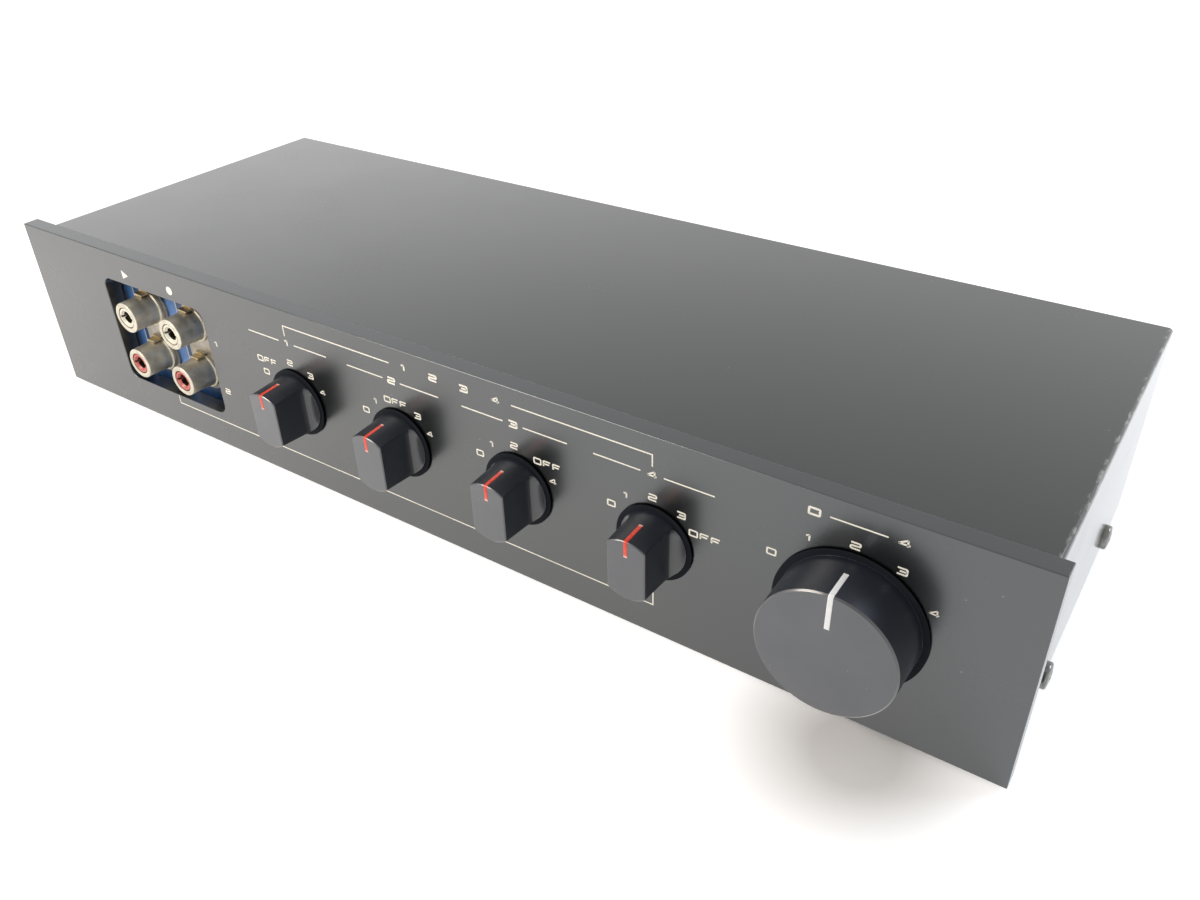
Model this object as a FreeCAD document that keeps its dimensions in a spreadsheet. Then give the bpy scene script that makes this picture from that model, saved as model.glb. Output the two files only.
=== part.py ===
import FreeCAD, Part
import math
import os
import re
import Sketcher
from FreeCAD import Rotation, Vector

# Tape deck selector: a low black box with a thick aluminium front panel, four small rotary
# selector knobs, one large monitor knob, four phono jacks in a front window and sixteen behind.
# The frame: X to the right, Y to the back, Z up, millimetres. The origin lies on the table,
# under the middle of the whole box. The front panel faces -Y.

SIZES = {
    # Front panel: a thick plate, wider than the case behind it
    "panel_wide": 280.0,
    "panel_tall": 49.2,
    "panel_thick": 4.3,
    "panel_lift": 1.2,
    "panel_bevel": 0.25,
    # Window for the front jacks: from the panel's left edge, and above its middle
    "window_in": 32.8,
    "window_above": 1.05,
    "window_wide": 40.5,
    "window_tall": 30.4,
    "window_round": 3.0,
    # Case: how far its sides stand in from the ends of the panel, and how deep it is
    "case_left_in": 7.75,
    "case_right_in": 1.65,
    "case_deep": 96.1,
    "cover_drop": 0.15,
    "cover_gap": 0.1,
    "cover_sheet": 1.0,
    "cover_bend": 1.2,
    "cover_screw_up": 5.3,
    "cover_screw_front": 23.9,
    "cover_screw_apart": 49.8,
    # Chassis tray: one folded sheet with a front and a rear wall and two low side flanges
    "tray_sheet": 1.2,
    "tray_rise": 2.0,
    "tray_side_gap": 0.15,
    "tray_top_gap": 0.3,
    "tray_rear_in": 0.8,
    "tray_flange": 13.0,
    "tray_bend": 1.0,
    # Knob places: from the panel's two ends, with the last selector this far from the monitor
    "first_knob_in": 105.05,
    "monitor_right_in": 32.7,
    "monitor_apart": 40.76,
    "knob_gap": 0.4,
    # Selector knob: a round skirt and a bar grip whose ends follow a slight cone and flare out
    # again where they meet the skirt
    "skirt_radius": 8.75,
    "skirt_thick": 1.8,
    "grip_deep": 8.4,
    "grip_half": 4.3,
    "grip_back_radius": 7.6,
    "grip_front_radius": 7.05,
    "grip_flare": 2.6,
    "grip_flare_radius": 8.6,
    "grip_bore": 8.4,
    "grip_mark_wide": 0.85,
    "grip_mark_run": 5.1,
    "grip_mark_foot": 3.3,
    # Monitor knob: a turned cylinder with a bevelled rim, flared out to a skirt at its back
    "monitor_back_radius": 15.0,
    "monitor_front_radius": 13.5,
    "monitor_skirt": 1.8,
    "monitor_flare": 3.0,
    "monitor_deep": 10.7,
    "monitor_rim": 0.3,
    "monitor_bore": 8.6,
    "monitor_mark_wide": 1.1,
    "monitor_mark_run": 5.4,
    "monitor_mark_foot": 6.1,
    # Pointer marks: inlaid strips in a groove over the rim and down the front
    "mark_sunk": 0.4,
    "mark_proud": 0.05,
    # Grub screws that clamp the knobs on their shafts
    "grub_radius": 1.5,
    "grub_long": 4.0,
    "grub_key": 0.85,
    "grub_key_deep": 1.6,
    "grub_back": 5.0,
    # Rotary switches
    "shaft_radius": 3.0,
    "shaft_flat": 2.0,
    "shaft_flat_long": 7.5,
    "shaft_end_gap": 0.4,
    "running_gap": 0.05,
    "bush_radius": 4.5,
    "bush_spare": 0.5,
    "nut_across": 12.0,
    "nut_thick": 2.0,
    "lock_radius": 6.6,
    "lock_thick": 0.5,
    "nut_room": 0.5,
    "plate_wide": 20.0,
    "plate_tall": 30.0,
    "plate_thick": 1.5,
    "wheel_radius": 7.5,
    "wheel_thick": 2.0,
    "wheel_gap": 0.4,
    "cap_radius": 10.0,
    "cap_wall": 1.0,
    "cap_deep": 4.5,
    "blade_wide": 3.6,
    "blade_thick": 1.6,
    "blade_room": 0.05,
    "blade_spare": 2.0,
    "wafer_radius": 10.5,
    "wafer_thick": 1.6,
    "wafer_front": 12.0,
    "wafer_pitch": 10.0,
    "ear_wide": 6.0,
    "rotor_radius": 6.1,
    "rotor_gap": 0.3,
    "tie_up": 12.5,
    "tie_radius": 1.25,
    "tie_head": 2.2,
    "tie_head_thick": 1.4,
    "spacer_radius": 2.0,
    "tag_radius": 0.4,
    "tag_ring": 9.0,
    "tag_long": 3.0,
    # Phono jacks, stacked outwards from the face of their board
    "jack_off_across": 0.35,
    "jack_off_up": 0.3,
    "jack_pitch_across": 18.3,
    "jack_pitch_up": 13.67,
    "washer_radius": 6.0,
    "washer_thick": 0.6,
    "earth_thick": 0.4,
    "earth_wide": 10.0,
    "tab_wide": 3.0,
    "tab_reach": 2.25,
    "tab_thick": 0.5,
    "flange_radius": 5.0,
    "flange_thick": 0.6,
    "shell_radius": 4.2,
    "shell_long": 7.26,
    "shell_bevel": 0.25,
    "root_step": 0.2,
    "insulator_radius": 2.9,
    "insulator_sunk": 0.3,
    "insulator_back": 6.0,
    "pin_radius": 1.65,
    "contact_radius": 2.1,
    "contact_long": 5.0,
    "contact_floor": 1.0,
    "tail_radius": 0.6,
    "tail_long": 2.5,
    "fit_gap": 0.05,
    # Boards that carry the jacks, and the ribbon cables between them and the switches
    "board_thick": 1.6,
    "front_board_tall": 37.0,
    "front_opening_room": 1.5,
    "front_screw_out": 2.85,
    "front_screw_side": 2.4,
    "front_screw_end": 5.5,
    "rear_pitch": 56.0,
    "rear_screw_out": 18.85,
    "rear_screw_side": 4.0,
    "rear_screw_end": 4.0,
    "rear_hole_room": 0.3,
    "spacer_ring": 3.0,
    "ribbon_wide": 8.0,
    "ribbon_thick": 1.0,
    "ribbon_down": 9.5,
    # Small screws and feet
    "screw_radius": 1.5,
    "screw_head": 2.8,
    "screw_head_thick": 1.6,
    "screw_top": 2.3,
    "screw_recess": 1.1,
    "screw_recess_deep": 0.9,
    "screw_bite": 2.8,
    "screw_fit": 0.05,
    "panel_hole_deep": 3.2,
    "panel_screw_in": 22.0,
    "panel_screw_right": 12.0,
    "panel_screw_low": 8.0,
    "panel_screw_drop": 7.7,
    "foot_radius": 6.0,
    "foot_inset": 16.0,
    "foot_pocket": 3.4,
    "foot_pocket_deep": 1.9,
    "foot_head_thick": 1.2,
}

# Places and lengths that follow from the sizes
FORMULAS = {
    "left_edge": "-panel_wide / 2",
    "case_left": "panel_wide / 2 - case_left_in",
    "case_right": "panel_wide / 2 - case_right_in",
    "window_up": "panel_tall / 2 + window_above - window_tall / 2",
    "knob_up": "panel_tall / 2",
    "monitor_in": "panel_wide - monitor_right_in",
    "knob_pitch": "(monitor_in - monitor_apart - first_knob_in) / 3",
    "panel_screw_high": "panel_tall - panel_screw_drop",
    "front_face": "(knob_gap + monitor_deep + mark_proud - rear_reach) / 2",
    "rear_reach": "case_deep - tray_rear_in - tray_sheet + flange_thick + shell_long",
    "wall_front": "front_face + panel_thick",
    "wall_back": "wall_front + tray_sheet",
    "tray_bottom": "panel_lift + tray_rise",
    "tray_left": "-case_left + cover_sheet + tray_side_gap",
    "tray_wide": "case_left + case_right - 2 * cover_sheet - 2 * tray_side_gap",
    "tray_deep": "case_deep - panel_thick - tray_rear_in",
    "cover_tall": "panel_tall - tray_rise - cover_drop",
    "cover_deep": "case_deep - panel_thick - cover_gap",
    "tray_tall": "cover_tall - cover_sheet - tray_top_gap",
    "rear_wall": "front_face + case_deep - tray_rear_in",
    "rear_board_face": "rear_wall - tray_sheet - earth_thick - washer_thick",
    "rear_middle": "(case_right - case_left) / 2",
    "knob_axis": "panel_lift + knob_up",
    "knob_back": "front_face - knob_gap",
    "jack_middle": "left_edge + window_in + window_wide / 2 + jack_off_across",
    "jack_axis": "panel_lift + window_up + window_tall / 2 + jack_off_up",
    "jack_stack": "washer_thick + earth_thick + flange_thick",
    "root_radius": "shell_radius + root_step",
    "front_screw_across": "window_wide + 2 * front_opening_room + 2 * front_screw_out",
    "front_board_wide": "front_screw_across + 2 * front_screw_side",
    "board_screw_up": "front_board_tall - 2 * front_screw_end",
    "rear_screw_across": "3 * rear_pitch + jack_pitch_across + 2 * rear_screw_out",
    "rear_board_wide": "rear_screw_across + 2 * rear_screw_side",
    "rear_board_tall": "board_screw_up + 2 * rear_screw_end",
    "plate_back": "wall_back + plate_thick",
    "bush_long": "tray_sheet + lock_thick + nut_thick + bush_spare",
    "nut_corner": "nut_across / sqrt(3)",
    "last_wafer_back": "wall_back + wafer_front + wafer_pitch + wafer_thick",
}

TURN = {
    "up": Rotation(),
    "down": Rotation(Vector(1, 0, 0), 180),
    "front": Rotation(Vector(1, 0, 0), 90),
    "back": Rotation(Vector(1, 0, 0), -90),
    "right": Rotation(Vector(0, 1, 0), 90),
    "left": Rotation(Vector(0, 1, 0), -90),
}
OPPOSITE = {"up": "down", "down": "up", "front": "back", "back": "front", "right": "left", "left": "right"}
STEP_OUT = {"up": "z+", "down": "z-", "front": "y-", "back": "y+", "right": "x+", "left": "x-"}
SWITCHES = [(str(n + 1), f"left_edge + first_knob_in + {n} * knob_pitch") for n in range(4)]
SWITCHES.append(("monitor", "left_edge + monitor_in"))

doc = FreeCAD.newDocument("tape_deck_selector")
sheet = doc.addObject("Spreadsheet::Sheet", "sizes")
for row, (name, value) in enumerate(SIZES.items(), start=1):
    sheet.set(f"A{row}", str(value))
    sheet.setAlias(f"A{row}", name)
doc.recompute()

nodes = []


def resolve(text):
    """Turn plain words into sheet cells, and the names of formulas into their text."""
    def swap(match):
        word = match.group(0)
        if word in SIZES:
            return "sizes." + word
        if word in FORMULAS:
            return "(" + resolve(FORMULAS[word]) + ")"
        return word
    return re.sub(r"[a-z_]+", swap, text)


def bind(thing, prop, text):
    thing.setExpression(prop, resolve(text))


def seat(thing, place, facing="up"):
    """Give an object its turn, and a place that follows the sheet."""
    thing.Placement = FreeCAD.Placement(Vector(), TURN[facing])
    for axis, text in zip("xyz", place):
        bind(thing, ".Placement.Base." + axis, text)


def keep(thing, label):
    """Name an object as one of the finished pieces."""
    thing.Label = label
    nodes.append(thing)
    return thing


def moved(place, facing, text):
    """The place that lies further along the way that facing points."""
    axis, sign = STEP_OUT[facing]
    return tuple(f"{spot} {sign} ({text})" if name == axis else spot
                 for name, spot in zip("xyz", place))


def rod(name, radius, length, place, facing="up"):
    thing = doc.addObject("Part::Cylinder", name)
    bind(thing, "Radius", radius)
    bind(thing, "Height", length)
    seat(thing, place, facing)
    return thing


def cone(name, near_radius, far_radius, length, place, facing="up"):
    thing = doc.addObject("Part::Cone", name)
    bind(thing, "Radius1", near_radius)
    bind(thing, "Radius2", far_radius)
    bind(thing, "Height", length)
    seat(thing, place, facing)
    return thing


def prism(name, sides, radius, length, place, facing="up"):
    thing = doc.addObject("Part::Prism", name)
    thing.Polygon = sides
    bind(thing, "Circumradius", radius)
    bind(thing, "Height", length)
    seat(thing, place, facing)
    return thing


def block(name, size, corner):
    thing = doc.addObject("Part::Box", name)
    for prop, text in zip(("Length", "Width", "Height"), size):
        bind(thing, prop, text)
    seat(thing, corner)
    return thing


def fuse(name, *shapes):
    thing = doc.addObject("Part::MultiFuse", name)
    thing.Shapes = list(shapes)
    thing.Refine = True
    return thing


def cut(name, base, tool):
    thing = doc.addObject("Part::Cut", name)
    thing.Base = base
    thing.Tool = tool
    return thing


def common(name, first, second):
    thing = doc.addObject("Part::MultiCommon", name)
    thing.Shapes = [first, second]
    return thing


def group(name, shapes):
    thing = doc.addObject("Part::Compound", name)
    thing.Links = list(shapes)
    return thing


def tube(name, outer, inner, length, place, facing="up"):
    """A round tube or ring."""
    return cut(name, rod(name + "_outside", outer, length, place, facing),
               rod(name + "_inside", inner, length, place, facing))


def screw(name, place, facing, shank, radius="screw_radius", head="screw_head",
          head_thick="screw_head_thick", top="screw_top"):
    """A pan head screw: place is the middle of the face that the head sits on."""
    head_part = cone(name + "_head", head, top, head_thick, place, facing)
    shank_part = rod(name + "_shank", radius, shank, place, OPPOSITE[facing])
    recess = cone(name + "_recess", "screw_recess", "screw_recess / 3", "screw_recess_deep",
                  moved(place, facing, head_thick), OPPOSITE[facing])
    return cut(name, fuse(name + "_blank", head_part, shank_part), recess)


def start_body(name, place):
    body = doc.addObject("PartDesign::Body", name)
    seat(body, place)
    return body


def sketch_on(body, role, name, lift=None):
    """A sketch on one of the body's own origin planes, or lifted off it."""
    sketch = body.newObject("Sketcher::SketchObject", name)
    plane = [feature for feature in body.Origin.OriginFeatures if feature.Role == role][0]
    sketch.AttachmentSupport = [(plane, "")]
    sketch.MapMode = "FlatFace"
    if lift:
        bind(sketch, ".AttachmentOffset.Base.z", lift)
    return sketch


def measure(sketch, kind, ends, text):
    """A dimension whose value comes from the sheet."""
    index = sketch.addConstraint(Sketcher.Constraint(kind, *ends, 5.0))
    bind(sketch, f"Constraints[{index}]", text)


def rectangle(sketch, wide, tall, left=None, low=None):
    """Four lines; the lower left corner lies at left and low, or at the origin."""
    corners = [Vector(2, 2, 0), Vector(9, 2, 0), Vector(9, 8, 0), Vector(2, 8, 0)]
    first = sketch.GeometryCount
    for n in range(4):
        sketch.addGeometry(Part.LineSegment(corners[n], corners[(n + 1) % 4]), False)
    for n in range(4):
        sketch.addConstraint(Sketcher.Constraint("Coincident", first + n, 2, first + (n + 1) % 4, 1))
        sketch.addConstraint(Sketcher.Constraint("Horizontal" if n % 2 == 0 else "Vertical", first + n))
    measure(sketch, "DistanceX", (first, 1, first, 2), wide)
    measure(sketch, "DistanceY", (first + 1, 1, first + 1, 2), tall)
    if left is None:
        sketch.addConstraint(Sketcher.Constraint("Coincident", first, 1, -1, 1))
    else:
        measure(sketch, "DistanceX", (-1, 1, first, 1), left)
        measure(sketch, "DistanceY", (-1, 1, first, 1), low)


def circle(sketch, radius, across, up):
    index = sketch.addGeometry(Part.Circle(Vector(5, 5, 0), Vector(0, 0, 1), 1), False)
    measure(sketch, "Radius", (index,), radius)
    measure(sketch, "DistanceX", (-1, 1, index, 3), across)
    measure(sketch, "DistanceY", (-1, 1, index, 3), up)


def pad(body, sketch, length, flip=False):
    feature = body.newObject("PartDesign::Pad", sketch.Name + "_pad")
    feature.Profile = sketch
    bind(feature, "Length", length)
    feature.Reversed = flip
    return feature


def pocket(body, sketch, length=None, flip=False):
    """Cut to a depth, or right through when no depth is given."""
    feature = body.newObject("PartDesign::Pocket", sketch.Name + "_pocket")
    feature.Profile = sketch
    if length:
        bind(feature, "Length", length)
    else:
        feature.Type = "ThroughAll"
    feature.Reversed = flip
    return feature


def dress(body, kind, name, prop, text, wanted):
    """Fillet or chamfer the edges that the wanted test picks out of the body's last feature."""
    doc.recompute()
    base = body.Tip
    names = [f"Edge{n + 1}" for n, edge in enumerate(base.Shape.Edges) if wanted(edge)]
    feature = body.newObject(kind, name)
    feature.Base = (base, names)
    bind(feature, prop, text)
    return feature


def runs_along(edge, index):
    """True for a straight edge that runs along one axis of the body."""
    if len(edge.Vertexes) != 2:
        return False
    way = edge.Vertexes[1].Point - edge.Vertexes[0].Point
    return abs(abs(way[index]) - edge.Length) < 1e-6


def size_of(name):
    return SIZES[name]


# Front panel: the window, five round clearance holes over the switch nuts, and six tapped
# blind holes in the back for the screws that hold it to the tray
panel_screw_places = [(across, up)
                      for across in ("panel_screw_in", "first_knob_in + 1.5 * knob_pitch",
                                     "panel_wide - panel_screw_right")
                      for up in ("panel_screw_low", "panel_screw_high")]


def make_front_panel():
    body = start_body("front_panel", ("left_edge", "front_face", "panel_lift"))
    outline = sketch_on(body, "XZ_Plane", "panel_outline")
    rectangle(outline, "panel_wide", "panel_tall")
    pad(body, outline, "panel_thick", flip=True)
    window = sketch_on(body, "XZ_Plane", "panel_window")
    rectangle(window, "window_wide", "window_tall", "window_in", "window_up")
    pocket(body, window)

    def at_window(edge):
        middle = edge.BoundBox.Center
        return (runs_along(edge, 1) and size_of("window_in") - 1 < middle.x
                and middle.x < size_of("window_in") + size_of("window_wide") + 1)

    dress(body, "PartDesign::Fillet", "window_corners", "Radius", "window_round", at_window)
    holes = sketch_on(body, "XZ_Plane", "panel_switch_holes")
    for n in range(4):
        circle(holes, "nut_corner + nut_room", f"first_knob_in + {n} * knob_pitch", "knob_up")
    circle(holes, "nut_corner + nut_room", "monitor_in", "knob_up")
    pocket(body, holes)
    blind = sketch_on(body, "XZ_Plane", "panel_blind_holes", "-panel_thick")
    for across, up in panel_screw_places:
        circle(blind, "screw_radius + screw_fit", across, up)
    pocket(body, blind, "panel_hole_deep", flip=True)

    def at_rim(edge):
        box = edge.BoundBox
        flat = box.YMax - box.YMin < 1e-6 and abs(box.YMin) < 1e-6
        return flat and max(box.XLength, box.ZLength) > size_of("panel_tall") - 1

    dress(body, "PartDesign::Chamfer", "panel_front_bevel", "Size", "panel_bevel", at_rim)
    return keep(body, "front_panel")


# Top cover: one sheet folded down at both sides, open at the front, back and bottom
def make_top_cover():
    body = start_body("top_cover", ("-case_left", "wall_front + cover_gap", "tray_bottom"))
    outside = sketch_on(body, "XZ_Plane", "cover_outside")
    rectangle(outside, "case_left + case_right", "cover_tall")
    pad(body, outside, "cover_deep", flip=True)

    def top_side(edge):
        return runs_along(edge, 1) and edge.BoundBox.ZMin > body.Tip.Shape.BoundBox.ZMax - 0.01

    dress(body, "PartDesign::Fillet", "cover_outer_bends", "Radius", "cover_bend", top_side)
    inside = sketch_on(body, "XZ_Plane", "cover_inside")
    rectangle(inside, "case_left + case_right - 2 * cover_sheet", "cover_tall",
              "cover_sheet", "-cover_sheet")
    pocket(body, inside)

    def inner_side(edge):
        box = edge.BoundBox
        level = body.Tip.Shape.BoundBox.ZMax - size_of("cover_sheet")
        return runs_along(edge, 1) and abs(box.ZMin - level) < 0.01

    dress(body, "PartDesign::Fillet", "cover_inner_bends", "Radius", "cover_bend - cover_sheet",
          inner_side)
    holes = sketch_on(body, "YZ_Plane", "cover_screw_holes")
    for step in (0, 1):
        circle(holes, "screw_radius + 2 * screw_fit",
               f"cover_screw_front - panel_thick - cover_gap + {step} * cover_screw_apart",
               "cover_screw_up")
    pocket(body, holes, flip=True)
    return keep(body, "top_cover")


# Chassis tray: floor, front wall, rear wall and side flanges of one folded sheet
rear_jack_places = [(f"rear_middle + {group_n - 1.5} * rear_pitch + {side} * jack_pitch_across / 2",
                     f"jack_axis + {level} * jack_pitch_up / 2", level)
                    for group_n in range(4) for side in (-1, 1) for level in (-1, 1)]
front_jack_places = [(f"jack_middle + {side} * jack_pitch_across / 2",
                      f"jack_axis + {level} * jack_pitch_up / 2", level)
                     for side in (-1, 1) for level in (-1, 1)]


def make_chassis_tray():
    body = start_body("chassis_tray", ("tray_left", "wall_front", "tray_bottom"))
    outline = sketch_on(body, "XY_Plane", "tray_outline")
    rectangle(outline, "tray_wide", "tray_deep")
    pad(body, outline, "tray_tall")
    inside = sketch_on(body, "XY_Plane", "tray_inside", "tray_tall")
    rectangle(inside, "tray_wide - 2 * tray_sheet", "tray_deep - 2 * tray_sheet",
              "tray_sheet", "tray_sheet")
    pocket(body, inside, "tray_tall - tray_sheet")
    sides = sketch_on(body, "YZ_Plane", "tray_side_openings")
    rectangle(sides, "tray_deep - 2 * tray_sheet", "tray_tall", "tray_sheet", "tray_flange")
    pocket(body, sides, flip=True)

    def bottom(edge):
        box = edge.BoundBox
        return box.ZMax < 0.01 and edge.Length > size_of("panel_tall")

    dress(body, "PartDesign::Fillet", "tray_bends", "Radius", "tray_bend", bottom)

    front = sketch_on(body, "XZ_Plane", "tray_front_holes")
    for _, across in SWITCHES:
        circle(front, "bush_radius + 2 * fit_gap", f"{across} - tray_left", "knob_axis - tray_bottom")
    for across, up in panel_screw_places:
        circle(front, "screw_radius + 2 * screw_fit", f"left_edge + {across} - tray_left",
               f"{up} - tray_rise")
    for side in (-1, 1):
        for level in (-1, 1):
            circle(front, "tie_radius + fit_gap",
                   f"jack_middle - tray_left + {side} * front_screw_across / 2",
                   f"jack_axis - tray_bottom + {level} * board_screw_up / 2")
    rectangle(front, "window_wide + 2 * front_opening_room", "window_tall + 2 * front_opening_room",
              "left_edge + window_in - front_opening_room - tray_left",
              "window_up - front_opening_room - tray_rise")
    pocket(body, front, "tray_sheet + tray_side_gap")

    rear = sketch_on(body, "XZ_Plane", "tray_rear_holes", "-(tray_deep)")
    for across, up, _ in rear_jack_places:
        circle(rear, "flange_radius + rear_hole_room", f"{across} - tray_left", f"{up} - tray_bottom")
    for side in (-1, 1):
        for level in (-1, 1):
            circle(rear, "tie_radius + fit_gap",
                   f"rear_middle - tray_left + {side} * rear_screw_across / 2",
                   f"jack_axis - tray_bottom + {level} * board_screw_up / 2")
    pocket(body, rear, "tray_sheet + tray_side_gap", flip=True)

    floor = sketch_on(body, "XY_Plane", "tray_foot_holes")
    for across in ("foot_inset", "tray_wide - foot_inset"):
        for along in ("foot_inset", "tray_deep - foot_inset"):
            circle(floor, "screw_radius + screw_fit", across, along)
    pocket(body, floor, "tray_sheet", flip=True)

    side_holes = sketch_on(body, "YZ_Plane", "tray_cover_screw_holes")
    for step in (0, 1):
        circle(side_holes, "screw_radius + screw_fit",
               f"cover_screw_front - panel_thick + {step} * cover_screw_apart", "cover_screw_up")
    pocket(body, side_holes, flip=True)
    return keep(body, "chassis_tray")


# Screws that hold the case together
def make_case_screws():
    cover_screws = []
    for side, edge in (("left", "-case_left"), ("right", "case_right")):
        for step in (0, 1):
            place = (edge, f"front_face + cover_screw_front + {step} * cover_screw_apart",
                     "tray_bottom + cover_screw_up")
            cover_screws.append(screw(f"cover_screw_{side}_{step}", place, side,
                                      "cover_sheet + tray_side_gap + tray_sheet + screw_bite"))
    keep(group("cover_screws", cover_screws), "cover_screws")
    panel_screws = []
    for n, (across, up) in enumerate(panel_screw_places):
        place = (f"left_edge + {across}", "wall_back", f"panel_lift + {up}")
        panel_screws.append(screw(f"panel_screw_{n}", place, "back", "tray_sheet + screw_bite"))
    keep(group("panel_screws", panel_screws), "panel_screws")


# Feet: rubber discs with a pocket that hides the screw head
def make_feet():
    feet = []
    screws = []
    for n, across in enumerate(("tray_left + foot_inset", "tray_left + tray_wide - foot_inset")):
        for k, along in enumerate(("wall_front + foot_inset", "wall_front + tray_deep - foot_inset")):
            name = f"foot_{n}{k}"
            disc = rod(name + "_disc", "foot_radius", "tray_bottom", (across, along, "0"))
            room = rod(name + "_pocket", "foot_pocket", "foot_pocket_deep", (across, along, "0"))
            hole = rod(name + "_hole", "screw_radius + screw_fit", "tray_bottom", (across, along, "0"))
            feet.append(cut(name, disc, fuse(name + "_cuts", room, hole)))
            screws.append(screw(f"foot_screw_{n}{k}", (across, along, "foot_pocket_deep"), "down",
                                "tray_bottom - foot_pocket_deep + tray_sheet + screw_bite",
                                head_thick="foot_head_thick"))
    keep(group("rubber_feet", feet), "rubber_feet")
    keep(group("foot_screws", screws), "foot_screws")


# Jack boards
def make_board(name, place, wide, tall, holes, screw_across):
    """A circuit board: place is its lower left corner, holes are measured from there."""
    body = start_body(name, place)
    outline = sketch_on(body, "XZ_Plane", name + "_outline")
    rectangle(outline, wide, tall)
    pad(body, outline, "board_thick", flip=True)
    drill = sketch_on(body, "XZ_Plane", name + "_holes")
    for across, up in holes:
        circle(drill, "insulator_radius + 2 * fit_gap", across, up)
    for side in (-1, 1):
        for level in (-1, 1):
            circle(drill, "tie_radius + 2 * fit_gap", f"({wide} + {side} * {screw_across}) / 2",
                   f"({tall} + {level} * board_screw_up) / 2")
    pocket(body, drill)
    return keep(body, name)


def make_boards():
    left = "jack_middle - front_board_wide / 2"
    low = "jack_axis - front_board_tall / 2"
    make_board("front_jack_board", (left, "wall_back", low), "front_board_wide", "front_board_tall",
               [(f"{across} - ({left})", f"{up} - ({low})") for across, up, _ in front_jack_places],
               "front_screw_across")
    left = "rear_middle - rear_board_wide / 2"
    low = "jack_axis - rear_board_tall / 2"
    make_board("rear_jack_board", (left, "rear_board_face - board_thick", low), "rear_board_wide",
               "rear_board_tall",
               [(f"{across} - ({left})", f"{up} - ({low})") for across, up, _ in rear_jack_places],
               "rear_screw_across")
    spacers = []
    screws = []
    for side in (-1, 1):
        for level in (-1, 1):
            tag = f"{side + 1}{level + 1}"
            up = f"jack_axis + {level} * board_screw_up / 2"
            front_place = (f"jack_middle + {side} * front_screw_across / 2",
                           "wall_back + board_thick", up)
            screws.append(screw("front_board_screw_" + tag, front_place, "back",
                                "board_thick + tray_sheet", "tie_radius", "tie_head",
                                "tie_head_thick", "tie_radius * 1.4"))
            across = f"rear_middle + {side} * rear_screw_across / 2"
            spacers.append(tube("board_spacer_" + tag, "spacer_ring", "tie_radius + fit_gap",
                                "earth_thick + washer_thick", (across, "rear_board_face", up), "back"))
            screws.append(screw("rear_board_screw_" + tag,
                                (across, "rear_board_face - board_thick", up), "front",
                                "board_thick + earth_thick + washer_thick + tray_sheet",
                                "tie_radius", "tie_head", "tie_head_thick", "tie_radius * 1.4"))
    keep(group("board_spacers", spacers), "board_spacers")
    keep(group("board_screws", screws), "board_screws")


# Phono jacks: each is a stack of washer, earth plate, flanged shell, insulator and centre contact
def make_jack(tag, place, facing, colour, jacks):
    """One jack on the board face at place, its mouth pointing the way facing says."""
    bore = "insulator_radius + fit_gap"
    jacks["jack_washers"].append(tube("washer_" + tag, "washer_radius", bore, "washer_thick",
                                      place, facing))
    flange_place = moved(place, facing, "washer_thick + earth_thick")
    mouth = moved(place, facing, "jack_stack + shell_long")
    flange = rod("flange_" + tag, "flange_radius", "flange_thick", flange_place, facing)
    barrel = rod("barrel_" + tag, "shell_radius", "flange_thick + shell_long - shell_bevel",
                 flange_place, facing)
    root = rod("root_" + tag, "root_radius", "flange_thick + tab_reach + 2 * fit_gap",
               flange_place, facing)
    rim = cone("rim_" + tag, "shell_radius - shell_bevel", "shell_radius", "shell_bevel", mouth,
               OPPOSITE[facing])
    hollow = rod("shell_bore_" + tag, bore, "flange_thick + shell_long", flange_place, facing)
    blank = fuse("shell_blank_" + tag, flange, root, barrel, rim)
    jacks["jack_shells"].append(cut("shell_" + tag, blank, hollow))
    rear = moved(place, OPPOSITE[facing], "board_thick + insulator_back")
    whole = "insulator_back + board_thick + jack_stack + shell_long"
    filling = rod("filling_" + tag, "insulator_radius", f"{whole} - insulator_sunk", rear, facing)
    pin_hole = rod("pin_hole_" + tag, "pin_radius", whole, rear, facing)
    contact_room = rod("contact_room_" + tag, "contact_radius + fit_gap", "contact_long + fit_gap",
                       rear, facing)
    jacks[colour + "_insulators"].append(cut("insulator_" + tag, filling,
                                             fuse("insulator_cuts_" + tag, pin_hole, contact_room)))
    tip = rod("contact_tip_" + tag, "contact_radius", "contact_long", rear, facing)
    tail = rod("contact_tail_" + tag, "tail_radius", "tail_long", rear, OPPOSITE[facing])
    socket = rod("contact_socket_" + tag, "pin_radius", "contact_long",
                 moved(rear, facing, "contact_floor"), facing)
    jacks["centre_contacts"].append(cut("contact_" + tag, fuse("contact_blank_" + tag, tip, tail),
                                        socket))


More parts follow.
